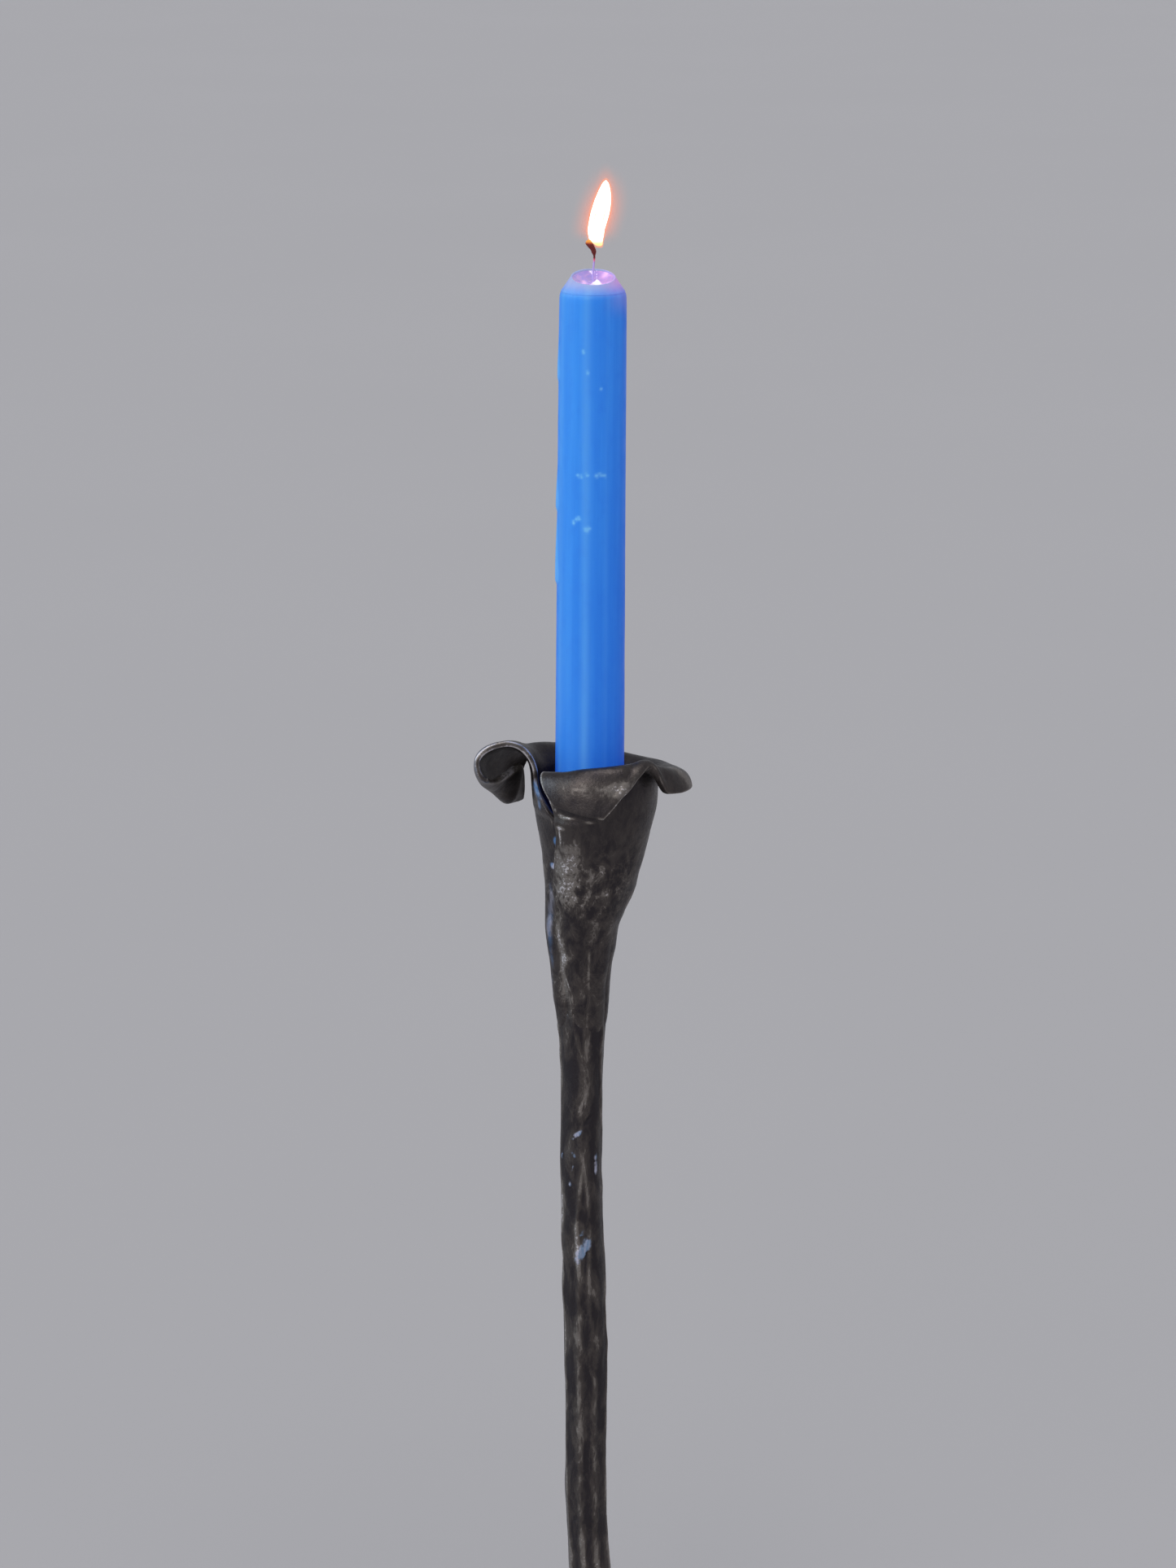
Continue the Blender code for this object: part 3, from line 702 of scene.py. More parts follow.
# The peened tenon below the foot, radius and level, and the level of its end face.
TENON = [(4.5, 7.7), (4.5, 2.3), (6.8, 1.6), (6.5, 0.5)]
TENON_END = 0.35


def close_stem(points, turn, tip):
    """The stem's flat points and faces, closed by its tip above and by the tenon below."""
    columns, rows = points.shape[:2]
    flat = np.concatenate([points.reshape(-1, 3), [tip]])
    faces = grid_faces(columns, rows, closed=True) + fan_faces(columns, rows, rows - 1, len(flat) - 1)
    ring = np.arange(columns) * rows
    for radius, level in TENON:
        below = len(flat) + np.arange(columns)
        circle = [radius * np.sin(turn), -radius * np.cos(turn), np.full(columns, level)]
        flat = np.concatenate([flat, np.transpose(circle)])
        faces += np.transpose([ring, below, np.roll(below, -1), np.roll(ring, -1)]).tolist()
        ring = below
    flat = np.concatenate([flat, [(0.0, 0.0, TENON_END)]])
    faces += np.transpose([ring, np.full(columns, len(flat) - 1), np.roll(ring, -1)]).tolist()
    return flat, faces


def make_stem():
    sides, step = ((200, 0.5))
    height = np.arange(STEM_STATIONS[0][0], STEM_TOP, step)
    turn = turns(sides)
    centre, radius = smooth_rows(STEM_STATIONS, height).T
    outward = np.transpose([np.sin(turn), -np.cos(turn), np.zeros(sides)])[:, None, :]
    base = outward * radius[None, :, None]
    base[..., 0] += centre
    base[..., 2] = height
    front = turned(np.degrees(turn) % 360.0)[:, None]
    level = base[..., 2]

    proud = band_height(front, level)
    notch = bump(front, 22.0, 12.0) * bump(level - 0.09 * (front - 22.0), 229.4, 0.9)
    splash = slanted_marks(front, level, SPLASHES)
    wax_and_sheen = splash + 0.8 * rough_noise(base, (1.2, 1.2, 1.2), 71) * ease(splash, 0.1, 0.5)
    strength = 0.8 + 0.5 * soft_noise(base, (5.0, 5.0, 30.0), 61)
    depth = 0.42 * (proud - 0.55) * strength * (0.25 + 0.75 * ease(level, 14.0, 40.0)) - 0.5 * notch
    offset = depth + dented(base, STEM_DENTS) + 0.07 * rough_noise(base, (2.2, 2.2, 4.5), 67)
    offset = offset + 0.18 * ease(wax_and_sheen, 0.35, 0.75)
    flat, faces = close_stem(base + outward * offset[..., None], turn, (centre[-1], 0.0, height[-1] + 1.0))

    # Rubbed on the raised bands; darker at the back just below the flower, a little lighter along both
    # sides.
    rubbed_and_shading = -0.16 + 0.64 * proud * (0.85 + 0.4 * soft_noise(base, (6.0, 6.0, 26.0), 73))
    behind = ease(np.abs(front), 75.0, 110.0) * ease(level, 205.0, 252.0)
    rubbed_and_shading = rubbed_and_shading * (1 - 0.85 * behind) - 1.1 * notch + 0.25 * bump(np.abs(front), 74.0, 10.0)
    extra = len(flat) - rubbed_and_shading.size
    attributes = {
        "rubbed_and_shading": np.concatenate([rubbed_and_shading.ravel(), np.full(extra, 0.2)]),
        "wax_and_sheen": np.concatenate([wax_and_sheen.ravel(), np.zeros(extra)]),
        "skin": np.full(len(flat), 0.25),
    }
    stem = mesh_object("stem_bar", flat, faces, attributes)
    stem.data.materials.append(iron_material("hammered_iron_look", (1.0, 1.0, 0.32), 0.2, WAX_FAINT))
    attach(stem, "holder")
    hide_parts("stem")


# ---------------------------------------------------------------- foot
BASE_CORNER = 1.6
SEAT_RADIUS = 7.4
SEAT_DEPTH = 2.4
FOOT_DENTS = [(0.38, 13.0, 81), (0.16, 6.0, 83)]


def foot_outline():
    """Radius and level from the hole over the top, round the rolled edge and back underneath."""
    outline = [(BASE_HOLE_RADIUS, BASE_THICKNESS + BASE_RISE)]
    for r in np.linspace(9.0, BASE_RADIUS - BASE_CORNER - 0.3, 90):
        outline.append((r, BASE_THICKNESS + BASE_RISE * (1 - ease(r, 10.0, 42.0))))
    for k in range(13):
        a = math.radians(90 - 15 * k)
        level = BASE_THICKNESS - BASE_CORNER if k <= 6 else BASE_CORNER
        out = BASE_RADIUS - BASE_CORNER + BASE_CORNER * math.cos(a)
        outline.append((out, level + BASE_CORNER * math.sin(a)))
    outline += [(30.0, 0.0), (SEAT_RADIUS, 0.0), (SEAT_RADIUS, SEAT_DEPTH), (BASE_HOLE_RADIUS, 3.0)]
    return np.array(outline)


def make_foot():
    """The round foot, hammered on top, with a countersunk hole below."""
    sides = 320
    outline = foot_outline()
    rows = len(outline)
    points = round_points(outline[:, 0], turns(sides), outline[:, 1])
    radius = np.broadcast_to(outline[:, 0], points.shape[:2])
    upper = ease(points[..., 2], 2.0, 5.0) * ease(radius, 11.0, 16.0)
    dents = dented(points, FOOT_DENTS)
    points[..., 2] += upper * (np.minimum(dents, 0.25) - 0.15) * 0.9
    rim = ease(radius, BASE_RADIUS - 3.0, BASE_RADIUS)
    pull = rim * (0.35 * soft_noise(points, 11.0, 87) - 0.3)
    points[..., :2] *= (1 + pull / np.maximum(radius, 1.0))[..., None]
    faces = grid_faces(sides, rows, closed=True, flip=True)
    for i in range(sides):
        here, beside = i * rows, (i + 1) % sides * rows
        faces.append((here, beside, beside + rows - 1, here + rows - 1))
    rubbed_and_shading = 0.12 + 0.5 * ease(dents, 0.05, 0.4) * upper + 0.55 * rim * ease(points[..., 2], 2.5, 5.5)
    attributes = {"rubbed_and_shading": rubbed_and_shading, "wax_and_sheen": np.zeros(rubbed_and_shading.size), "skin": np.full(rubbed_and_shading.size, 0.62)}
    foot = mesh_object("foot_disc", points.reshape(-1, 3), faces, attributes)
    foot.data.materials.append(iron_material("plate_iron_look", (1.0, 1.0, 1.0)))
    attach(foot, "holder")
    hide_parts("base_plate")


# ---------------------------------------------------------------- candle
NEAR_RIM_DROP = 3.3
POOL_LEVEL = CANDLE_LENGTH - NEAR_RIM_DROP - 0.55
SHOULDER_LEVEL = CANDLE_LENGTH - CANDLE_SHOULDER
SHOULDER_SLOPE = (CANDLE_TOP_RADIUS - CANDLE_FLAT_RADIUS) / CANDLE_SHOULDER
SHOULDER_ROUNDING = 0.10
FOOT_BEVEL = 0.6
# The crater's thin rim ends in a bead; its wall runs down past the pool's level, then in to the wick.
BEAD_RADIUS = 0.36
BEAD_DROP = 0.35
CRATER_LEVEL = POOL_LEVEL - 2.4
WICK_HOLE = 0.9
CANDLE_LUMPS = [(0.05, (7.0, 7.0, 16.0), 91), (0.02, (2.5, 2.5, 9.0), 93)]
# Hardened runs of wax: angle, top, bottom, half width in degrees, how proud.
RUNS = [
    (188, 178, 166, 10, 0.4), (186, 136, 125, 11, 0.52), (189, 126, 101.5, 10, 0.6), (20, 150, 90, 9, 0.4),
    (96, 175, 120, 10, 0.45), (110, 120, 84, 8, 0.3),
]
# Painted highlight streaks down the wax: angle, half width in degrees, strength.
SHEEN_STREAKS = [
    (206, 9, 0.45), (228, 14, 0.18), (260, 8, 0.55), (296, 4, 0.15),
]
# Pale flecks: angle, level, half width in degrees, half height.
FLECKS = [
    (246, 137.5, 3.2, 0.4), (252, 137.3, 2, 0.4), (262, 137.9, 3, 0.35), (278, 137.6, 3, 0.5),
    (285, 138, 4, 0.4), (292, 137.6, 3, 0.4), (238, 122.5, 2.6, 0.6), (243, 123.6, 2.4, 0.5),
    (248, 124, 3, 0.5), (261, 120.4, 4, 0.6), (266, 121, 3, 0.4), (254, 176.5, 2.6, 0.5),
    (262, 170, 2.4, 0.5), (285, 165, 2.2, 0.4),
]
FLECK_CLIMB = -0.06


def to_candle_place(thing):
    """Stand a piece that was made around the candle's own axis where the candle stands."""
    thing.location = [value * MM for value in CANDLE_FOOT]
    thing.rotation_euler = (0.0, CANDLE_LEAN, 0.0)
    bpy.context.view_layer.update()
    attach(thing, "candle")


def rim_height(turn):
    """The crater's rim has melted lower towards the front."""
    return CANDLE_LENGTH - NEAR_RIM_DROP * (0.5 - 0.5 * np.sin(turn)) ** 1.3


def shoulder_radius(level):
    return CANDLE_TOP_RADIUS - SHOULDER_SLOPE * (level - SHOULDER_LEVEL)


def side_radius(level):
    """The body's slight taper, rounded over into the shoulder."""
    body = CANDLE_FOOT_RADIUS + (CANDLE_TOP_RADIUS - CANDLE_FOOT_RADIUS) * level / SHOULDER_LEVEL
    cone = shoulder_radius(level)
    return 0.5 * (body + cone) - math.sqrt((0.5 * (body - cone)) ** 2 + SHOULDER_ROUNDING)


def candle_profile(rim, body_levels):
    """Radius and level from the foot up the side, over the rim and down into the crater."""
    profile = [(CANDLE_FOOT_RADIUS - FOOT_BEVEL + min(z, FOOT_BEVEL), z) for z in body_levels[:3]]
    profile += [(side_radius(z), z) for z in body_levels[3:]]
    bead = rim - BEAD_DROP
    profile += [(shoulder_radius(z), z) for z in np.linspace(SHOULDER_LEVEL + 0.5, bead, 22)[1:]]
    bead_middle = profile[-1][0] - 0.3
    for k in range(1, 8):
        a = math.radians(35 + 145 * k / 7)
        profile.append((bead_middle + BEAD_RADIUS * math.cos(a), bead + BEAD_RADIUS * math.sin(a)))
    wall = profile[-1][0]
    for t in np.linspace(0.0, 1.0, 14)[1:]:
        profile.append((wall * (1 + 0.06 * math.sin(math.pi * t)), bead * (1 - t) + CRATER_LEVEL * t))
    edge = profile[-1][0]
    for t in np.linspace(0.0, 1.0, 6)[1:]:
        profile.append((edge + (WICK_HOLE - edge) * t, CRATER_LEVEL - 0.4 * t))
    return profile


def wax_runs(degrees, level):
    """How proud the hardened runs stand, each with a fuller drop at its lower end."""
    run = np.zeros_like(level)
    for angle, top, bottom, wide, much in RUNS:
        along = ease(level, bottom - 0.7, bottom + 1.4) * (1 - ease(level, bottom + 3.0, top + 5.0))
        wide = wide * (0.8 + 0.25 * bump(level, bottom + 3.0, 4.0))
        run += much * bump(turned(degrees - angle), 0.0, wide) * along
    return run


def make_candle():
    sides, step = ((240, 0.7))
    turn = turns(sides)
    body_levels = np.concatenate([
        [0.0, 0.3, FOOT_BEVEL], np.arange(1.2, SHOULDER_LEVEL - 1.0, step),
        np.linspace(SHOULDER_LEVEL - 0.9, SHOULDER_LEVEL + 0.5, 9),
    ])
    profile = np.array([candle_profile(float(rim_height(angle)), body_levels) for angle in turn])
    radius, level = profile[..., 0], profile[..., 1]
    rows = level.shape[1]
    degrees = np.degrees(turn)[:, None]
    outside = np.arange(rows)[None, :] < len(body_levels) + 26
    uneven = 0.09 * np.sin(np.radians(2 * degrees + 40 + level * 0.6))
    uneven = uneven + 0.05 * np.sin(np.radians(3 * degrees - level))
    run = wax_runs(degrees, level)
    flecks = slanted_marks(degrees, level, [(*fleck, 1.0, FLECK_CLIMB) for fleck in FLECKS])
    lumps = dented(round_points(radius, turn, level), CANDLE_LUMPS)
    swell = uneven + run + lumps + 0.10 * np.clip(flecks, 0, 1)
    points = round_points(radius + outside * ease(level, 2.0, 8.0) * swell, turn, level)

    # The foot and the crater's floor are closed by their middle points.
    ends = [(0.0, 0.0, 0.0), (0.0, 0.0, CRATER_LEVEL - 0.4)]
    flat = np.concatenate([points.reshape(-1, 3), ends])
    faces = grid_faces(sides, rows, closed=True)
    faces += fan_faces(sides, rows, 0, len(flat) - 2, flip=True)
    faces += fan_faces(sides, rows, rows - 1, len(flat) - 1)
    sheen_streaks = sum(much * bump(degrees, angle, wide) for angle, wide, much in SHEEN_STREAKS)
    sheen_streaks = sheen_streaks * (0.8 + 0.4 * soft_noise(points, (4.0, 4.0, 25.0), 95))
    # Paler wax on the runs and flecks, and painted highlight on the streaks.
    pale_and_sheen = np.clip(0.8 * ease(run, 0.05, 0.3) + 2.0 * flecks + sheen_streaks, 0, 1.5)
    candle = mesh_object("candle_body", flat, faces, {"pale_and_sheen": np.append(pale_and_sheen.ravel(), [0.0, 0.0])})
    candle.data.materials.append(wax_material())
    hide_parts("candle")
    to_candle_place(candle)


DEEP_BLUE = (0.040, 0.262, 0.62)
CLEAR_BLUE = (0.050, 0.300, 0.66)
MOTTLED_BLUE = (0.030, 0.20, 0.56)
SHADED_BLUE = (0.008, 0.09, 0.36)
PALE_AND_SHEEN_BLUE = (0.19, 0.54, 0.70)
FLAME_LIT_VIOLET = (0.42, 0.30, 0.62)


def from_top(depth):
    """A level in metres, given in millimetres below the candle's top."""
    return (CANDLE_LENGTH - depth) * MM


def wax_material():
    """Blue candle wax: satin, faintly streaked, with painted light: a faint blue glow all over, painted
    shade lower down, and the flame's light through the wax painted as a glow towards its top and on its
    right.
    """
    n = Nodes("blue_wax_look")
    side, _, level = n.axes()
    streak = n.noise(420.0, 3.0, 0.6, (1.0, 1.0, 0.035))
    mottle = n.noise(260.0, 4.0, 0.6, (1.0, 1.0, 0.6))
    fine = n.noise(2600.0, 2.0, 0.6)
    deep = n.mix(n.span(streak, 0.35, 0.7), DEEP_BLUE, CLEAR_BLUE)
    deep = n.mix(n.span(mottle, 0.45, 0.75, 0.0, 0.25), deep, MOTTLED_BLUE)
    low_down = n.span(level, 20.0 * MM, 175.0 * MM)
    deep = n.mix(low_down, n.mix(0.28, deep, SHADED_BLUE), deep)
    colour = n.mix(n.math("MULTIPLY", n.value("pale_and_sheen"), 0.6), deep, PALE_AND_SHEEN_BLUE)
    # Violet towards the top: painted glow of the flame.
    top = n.span(level, from_top(7.5), from_top(2.5))
    n.shade("Base Color", n.mix(n.math("MULTIPLY", top, 0.5), colour, FLAME_LIT_VIOLET))
    n.shade("Roughness", n.span(mottle, 0.3, 0.7, 0.30, 0.46))
    n.shade("Subsurface Weight", 0.2)
    n.shade("Subsurface Radius", (0.6, 0.8, 1.6))
    n.shade("Subsurface Scale", 4.0 * MM)
    n.shade("Specular IOR Level", 0.10)
    # A faint blue glow all over, warm and rosy towards the top and on the right: painted light.
    lit = n.span(level, from_top(8.5), from_top(2.5))
    rosy_glow_side = n.span(side, 1.0 * MM, 9.0 * MM)
    glow = n.mix(rosy_glow_side, (0.26, 0.25, 0.22), (0.62, 0.14, 0.34))
    lower_glow = n.math("MULTIPLY", rosy_glow_side, n.span(level, from_top(15.0), from_top(5.0), 0.0, 0.35))
    n.shade("Emission Color", n.mix(n.math("MAXIMUM", lit, lower_glow), (0.002, 0.012, 0.60), glow))
    n.shade("Emission Strength", n.math("ADD", 0.40, n.math("MULTIPLY", lit, 0.1)))
    n.relief([(streak, 0.05, 0.35), (mottle, 0.06, 0.3), (fine, 0.012, 0.4)])
    return n.material


def disc_of(radius_at, level_at, sides, rings):
    """A disc of rings about the candle's axis, radius and height given for each turn and share outwards."""
    share = np.linspace(0.0, 1.0, rings + 1)[1:]
    tt, ss = np.meshgrid(turns(sides), share, indexing="ij")
    r = radius_at(tt) * ss
    points = np.stack([r * np.cos(tt), r * np.sin(tt), level_at(tt, ss)], axis=-1).reshape(-1, 3)
    points = np.concatenate([points, [[0.0, 0.0, float(level_at(np.array(0.0), np.array(0.0)))]]])
    faces = grid_faces(sides, rings, closed=True, flip=True) + fan_faces(sides, rings, 0, len(points) - 1)
    return points, faces


def melted_wax_material():
    """Clear, wet wax with a painted glow, rosy on the right, and a painted reflection of the flame, nearly
    white under it.
    """
    n = Nodes("melted_wax_look")
    side = n.axes()["X"]
    swirl = n.noise(500.0, 3.0, 0.5, distort=0.6)
    n.shade("Base Color", n.mix(n.span(swirl, 0.35, 0.7), (0.16, 0.18, 0.66), (0.40, 0.26, 0.66)))
    n.shade("Roughness", n.span(swirl, 0.3, 0.7, 0.05, 0.12))
    n.shade("Specular IOR Level", 0.9)
    n.shade("Coat Weight", 1.0)
    n.shade("Coat Roughness", 0.04)
    # A rosy glow all over, stronger on the right: painted light of the flame.
    rosy_glow_side = n.span(side, -1.0 * MM, 4.5 * MM)
    glow = n.mix(rosy_glow_side, (0.52, 0.30, 0.46), (1.00, 0.34, 0.48))
    flame_reflection = n.value("flame_reflection")
    glow = n.mix(n.span(flame_reflection, 0.05, 0.45), glow, (1.0, 0.52, 0.62))
    n.shade("Emission Color", n.mix(n.span(flame_reflection, 0.45, 0.95), glow, (1.0, 0.93, 0.82)))
    n.shade("Emission Strength", n.math("ADD", 0.38, n.math("MULTIPLY", flame_reflection, 0.65)))
    n.relief([(swirl, 0.03, 0.4)])
    return n.material


def make_pool():
    """Melted wax lining the crater: a glossy bowl, steeper at the back where the rim stands higher."""

    def lip(turn):
        return rim_height(turn) - 0.42

    def reach(turn):
        return shoulder_radius(lip(turn)) - 0.52

    def level(turn, share):
        climb = 0.25 * share + 0.75 * share**1.9
        lumps = 0.16 * np.sin(3 * turn + 0.6) * np.sin(math.pi * share) ** 2
        mound = 0.5 * bump(share, 0.0, 0.22)
        return POOL_LEVEL + (lip(turn) - POOL_LEVEL) * climb + lumps + mound

    points, faces = disc_of(reach, level, 120, 48)
    x, y = points[:, 0], points[:, 1]
    # Painted reflection of the flame: a wedge on the near slope, with a weaker spot on each side.
    up = np.clip((y + 5.2) / 7.6, 0.0, 1.0)
    wide = 2.3 * (1 - up) ** 0.65 + 0.05
    flame_reflection = ease(1.25 - np.abs(x - 1.15) / wide, 0.0, 0.6) * (y > -5.2)
    flame_reflection = flame_reflection + 0.55 * bump(x, -2.7, 0.9) * bump(y, -0.7, 1.6) + 0.45 * bump(x, 3.9, 1.3) * bump(y, 3.0, 1.6)
    pool = mesh_object("melt_pool", points, faces, {"flame_reflection": flame_reflection})
    pool.data.materials.append(melted_wax_material())
    to_candle_place(pool)


# ---------------------------------------------------------------- wick and flame
WICK_PATH = [
    (0, 194), (0, 197), (0.05, 200), (0.15, 202), (0.3, 203.8), (0.38, 205), (0.25, 206.2), (-0.15, 207.3),
    (-0.75, 208.3), (-1.4, 209.2), (-1.95, 209.9),
]


def tube(path, radius_at, sides, ripple):
    """A closed tube along points in the XZ plane; radius_at takes the share of the way along."""
    path = np.array([(x, 0.0, z) for x, z in path], float)
    tangent = np.gradient(path, axis=0)
    tangent /= np.linalg.norm(tangent, axis=1, keepdims=True)
    across = np.stack([tangent[:, 2], np.zeros(len(path)), -tangent[:, 0]], axis=1)
    depth = np.array([0.0, 1.0, 0.0])
    turn = turns(sides)
    rows = len(path)
    points = np.zeros((sides, rows, 3))
    for j, share in enumerate(np.linspace(0.0, 1.0, rows)):
        r = radius_at(share) * (1 + ripple * np.cos(3 * turn + j * 0.9) * np.cos(2 * turn - j * 0.7))
        ring = np.cos(turn)[:, None] * across[j] + np.sin(turn)[:, None] * depth
        points[:, j] = path[j] + r[:, None] * ring
    flat = np.concatenate([points.reshape(-1, 3), [path[0], path[-1]]])
    faces = grid_faces(sides, rows, closed=True)
    faces += fan_faces(sides, rows, 0, len(flat) - 2, flip=True)
    faces += fan_faces(sides, rows, rows - 1, len(flat) - 1)
    return flat, faces


def burnt_wick_material():
    """Cotton, violet where wax has soaked it, charred above, with embers at the bend and the tip."""
    n = Nodes("burnt_wick_look")
    height = n.axes()["Z"]
    char = n.span(height, 202.8 * MM, 204.6 * MM)
    threads = n.noise(2500.0, 3.0, 0.6, (1.0, 1.0, 0.5))
    burnt = n.mix(n.span(threads, 0.4, 0.7), (0.014, 0.003, 0.002), (0.09, 0.010, 0.006))
    n.shade("Base Color", n.mix(char, (0.50, 0.38, 0.80), burnt))
    n.shade("Roughness", 0.75)
    ember = n.math("MULTIPLY", n.peak(height, 203.9, 0.9), 0.55)
    tip = n.span(height, 208.6 * MM, 209.8 * MM)
    n.shade("Emission Color", n.mix(tip, (0.80, 0.03, 0.02), (1.0, 0.42, 0.05)))
    heat = n.math("ADD", ember, n.math("MULTIPLY", char, 0.09))
    n.shade("Emission Strength", n.math("ADD", heat, n.math("MULTIPLY", tip, 0.8)))
    n.relief([(threads, 0.10, 0.6)])
    return n.material


def make_wick():
    steps = np.linspace(0, len(WICK_PATH) - 1, 90)
    fine = smooth_rows([(i, x, z) for i, (x, z) in enumerate(WICK_PATH)], steps)

    def radius(share):
        thick = 0.30 + 0.42 * float(ease(share, 0.50, 0.62)) + 0.26 * float(bump(share, 0.88, 0.16))
        return thick - 0.45 * float(ease(share, 0.95, 1.0))

    points, faces = tube(fine, radius, 24, ripple=0.13)
    wick = mesh_object("candle_wick", points, faces)
    wick.data.materials.append(burnt_wick_material())
    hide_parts("wick")
    to_candle_place(wick)


# Height, how far sideways, half width of the flame.
FLAME = [
    (208, 1.85, 0.2), (208.2, 1.8, 0.9), (209.2, 1.25, 1.65), (210.4, 0.85, 2.15), (212.5, 0.85, 2.5),
    (215, 1.3, 2.72), (218, 2.00, 2.85), (221.5, 2.75, 2.6), (224.2, 3.25, 2.05), (226.3, 3.55, 1.4),
    (227.7, 3.72, 0.75), (228.4, 3.8, 0.05),
]
FLAME_BEHIND_WICK = 1.5
FLAME_LOW = (1.0, 0.62, 0.22)
FLAME_BRIGHT = (1.0, 0.90, 0.76)
FLAME_STRENGTH = 7.0
HALO_REACH = 9.5
HALO_HEIGHTS = (200.5, 234.6)


def flame_shell(name, grow, depth_share):
    """A leaning drop; grow is how far it stands outside the flame's own outline."""
    foot, tip = FLAME[0][0], FLAME[-1][0]
    levels = np.concatenate([np.linspace(foot, foot + 3.0, 24), np.linspace(foot + 3.3, tip, 70)])
    side, half = smooth_rows(FLAME, levels).T
    share = (levels - levels[0]) / (levels[-1] - levels[0])
    half = half + grow * np.sin(math.pi * np.clip(share, 0, 1)) ** 0.4
    levels = levels + grow * (2.2 * share - 1.0)
    sides, rows = 64, len(levels)
    points = round_points(half, turns(sides), levels) * (1.0, depth_share, 1.0)
    points += np.transpose([side, np.full(rows, FLAME_BEHIND_WICK), np.zeros(rows)])
    ends = [(side[j], FLAME_BEHIND_WICK, levels[j]) for j in (0, -1)]
    flat = np.concatenate([points.reshape(-1, 3), ends])
    faces = grid_faces(sides, rows, closed=True)
    faces += fan_faces(sides, rows, 0, len(flat) - 2, flip=True)
    faces += fan_faces(sides, rows, rows - 1, len(flat) - 1)
    return mesh_object(name, flat, faces)


def glowing(name, colour, strength):
    """A material that only gives off light."""
    n = Nodes(name)
    n.shade("Base Color", (0.0, 0.0, 0.0))
    n.shade("Emission Color", colour)
    n.shade("Emission Strength", strength)
    n.shade("Specular IOR Level", 0.0)
    n.shade("Roughness", 1.0)
    return n


def make_halo():
    """Soft glow around the flame: upright leaves crossing on its middle line and fading outwards."""
    low, high = HALO_HEIGHTS
    rows = np.linspace(low, high, 41)
    across = np.linspace(-HALO_REACH, HALO_REACH, 25)
    lean = np.interp(rows, *np.array(FLAME, float).T[:2])
    fade_in = 0.06 + 0.94 * ease(rows, 207.0, 213.0)
    points = []
    faces = []
    fade = []
    for turn in np.radians((0.0, 60.0, 120.0)):
        faces += grid_faces(len(across), len(rows), len(points))
        for u in across:
            for z, middle, strength in zip(rows, lean, fade_in):
                points.append((middle + u * math.cos(turn), FLAME_BEHIND_WICK + u * math.sin(turn), z))
                up = (2 * z - low - high) / (high - low)
                fade.append(max(0.0, 1 - math.hypot(u / HALO_REACH, up)) * strength)
    halo = mesh_object("flame_halo", points, faces, {"fade": fade}, smooth=False)
    n = glowing("flame_halo_look", (1.0, 0.40, 0.30), 1.0)
    n.shade("Alpha", n.math("MULTIPLY", n.math("POWER", n.value("fade"), 2.1), 1.75, clamp=True))
    halo.data.materials.append(n.material)
    halo.visible_shadow = False
    to_candle_place(halo)


def make_flame():
    core = flame_shell("flame_core", 0.0, 0.8)
    n = glowing("flame_look", FLAME_BRIGHT, FLAME_STRENGTH)
    low = n.span(n.axes()["Z"], 208.2 * MM, 211.4 * MM)
    n.shade("Emission Color", n.mix(low, FLAME_LOW, FLAME_BRIGHT))
    n.shade("Emission Strength", n.span(low, 0.0, 1.0, 2.2, FLAME_STRENGTH))
    core.data.materials.append(n.material)
    to_candle_place(core)
    edge = flame_shell("flame_edge", 0.60, 0.85)
    n = glowing("flame_edge_look", (1.0, 0.36, 0.20), 1.15)
    n.shade("Alpha", 0.34)
    edge.data.materials.append(n.material)
    edge.visible_shadow = False
    to_candle_place(edge)


# ---------------------------------------------------------------- stage, light and camera
FLOOR_RADIUS = 40000.0
FLOOR_COLOUR = (0.452, 0.438, 0.452)
ROOM_COLOUR = (0.83, 0.86, 0.92, 1.0)
ROOM_STRENGTH = 0.46


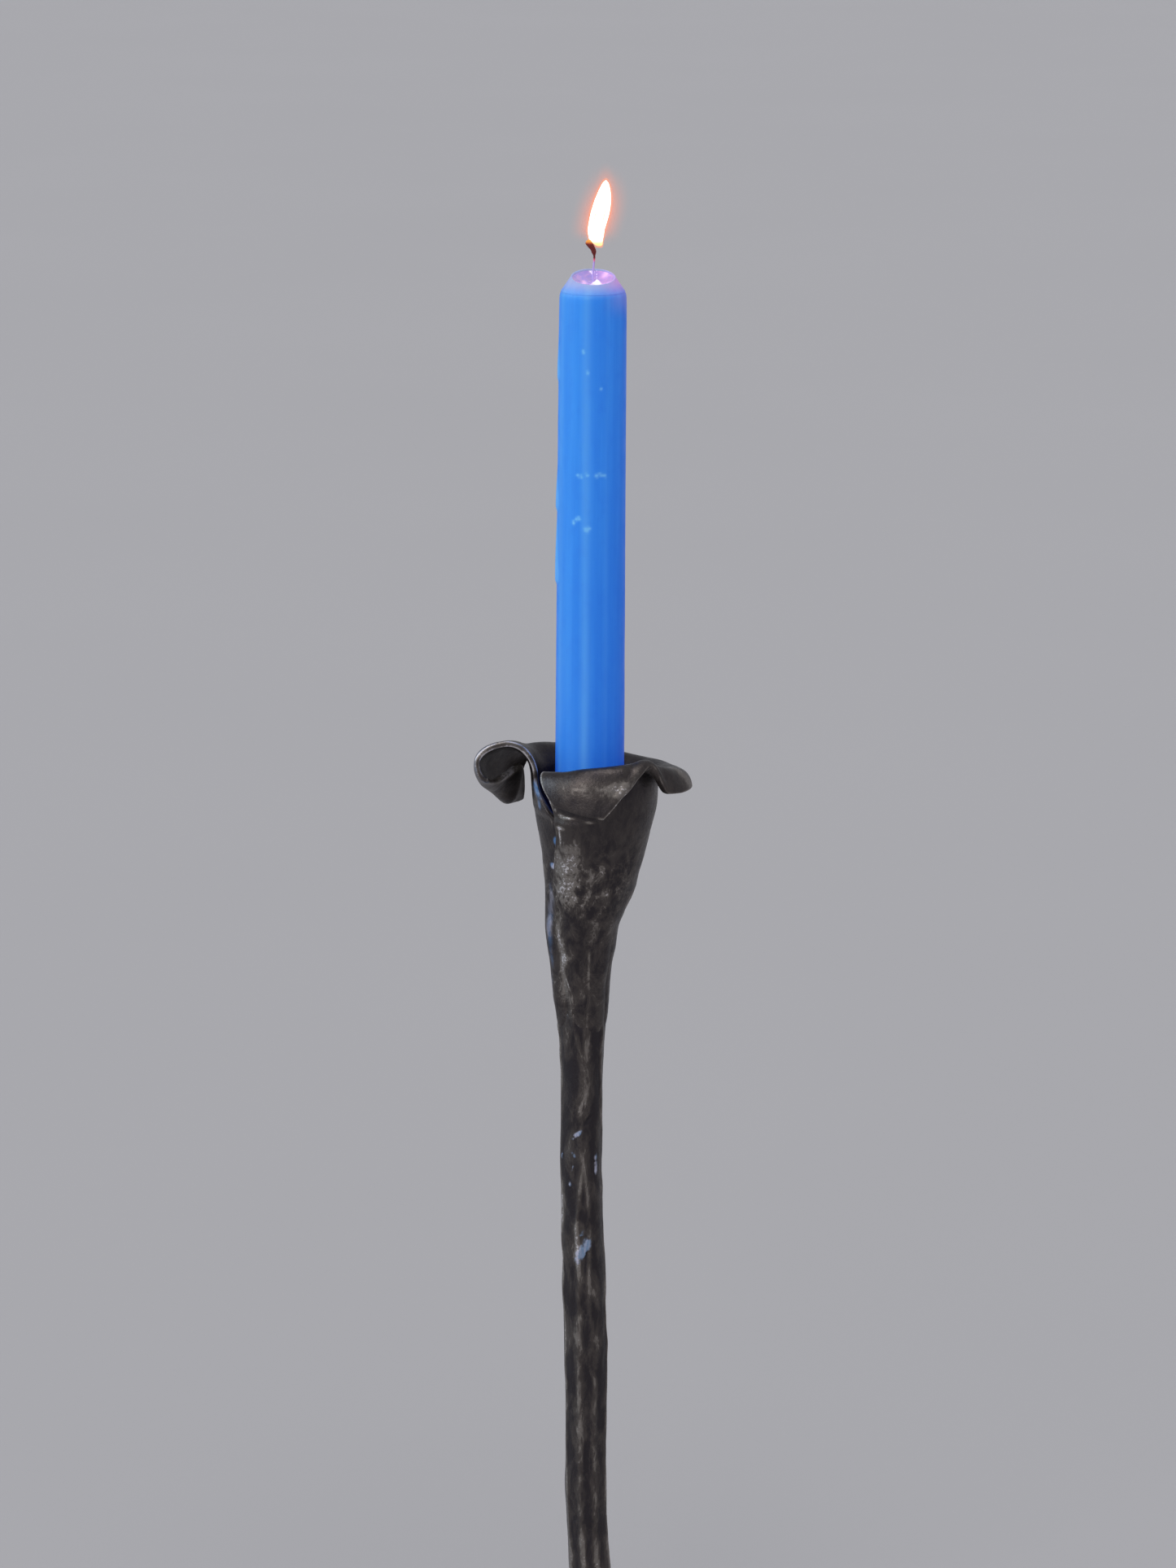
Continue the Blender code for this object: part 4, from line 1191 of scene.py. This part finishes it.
def make_floor():
    """A wide pale floor; its rings grow outwards from the candlestick."""
    rings = np.concatenate([[0.0], np.geomspace(60.0, FLOOR_RADIUS, 40)])
    sides = 96
    faces = grid_faces(sides, len(rings), closed=True, flip=True)
    floor = mesh_object("floor", round_points(rings, turns(sides), 0.0).reshape(-1, 3), faces)
    n = Nodes("floor_look")
    mottle = n.noise(2.0, 3.0, 0.5)
    n.shade("Base Color", n.mix(mottle, tuple(0.97 * c for c in FLOOR_COLOUR), FLOOR_COLOUR))
    n.shade("Roughness", 0.95)
    n.shade("Specular IOR Level", 0.1)
    floor.data.materials.append(n.material)


def add_sun(name, towards, spread, power, colour):
    """A far, wide, soft lamp; towards points from the object to the lamp, spread is in degrees."""
    light = bpy.data.lights.new(name, "SUN")
    light.angle = math.radians(spread)
    light.energy = power
    light.color = colour
    lamp = bpy.data.objects.new(name, light)
    lamp.rotation_euler = Vector(towards).to_track_quat("Z", "Y").to_euler()
    bpy.context.scene.collection.objects.link(lamp)


def make_lights():
    world = bpy.data.worlds.new("soft_room")
    bpy.context.scene.world = world
    world.use_nodes = True
    background = world.node_tree.nodes["Background"]
    background.inputs["Color"].default_value = ROOM_COLOUR
    background.inputs["Strength"].default_value = ROOM_STRENGTH
    add_sun("overhead", (0.10, -0.40, 1.0), 36.0, 1.05, (1.0, 0.98, 0.95))
    add_sun("window", (-1.0, -0.12, 0.34), 36.0, 1.15, (0.66, 0.85, 0.97))
    add_sun("front", (-0.48, -1.0, 0.50), 34.0, 0.85, (1.0, 0.97, 0.95))


def make_camera():
    camera = bpy.data.objects.new("camera", bpy.data.cameras.new("camera"))
    camera.data.sensor_fit = "VERTICAL"
    camera.data.angle = TALL_VIEW
    camera.data.clip_start = 0.02
    camera.data.clip_end = 60.0
    aim = Vector(AIM) * MM
    back = Vector((0.0, -math.cos(ELEVATION), math.sin(ELEVATION)))
    camera.location = aim + back * DISTANCE * MM
    camera.rotation_euler = (-back).to_track_quat("-Z", "Y").to_euler()
    bpy.context.scene.collection.objects.link(camera)
    bpy.context.scene.camera = camera


bpy.context.scene.view_settings.view_transform = "Standard"
make_foot()
make_stem()
make_flower()
make_candle()
make_pool()
make_wick()
make_flame()
make_halo()
make_floor()
make_lights()
make_camera()
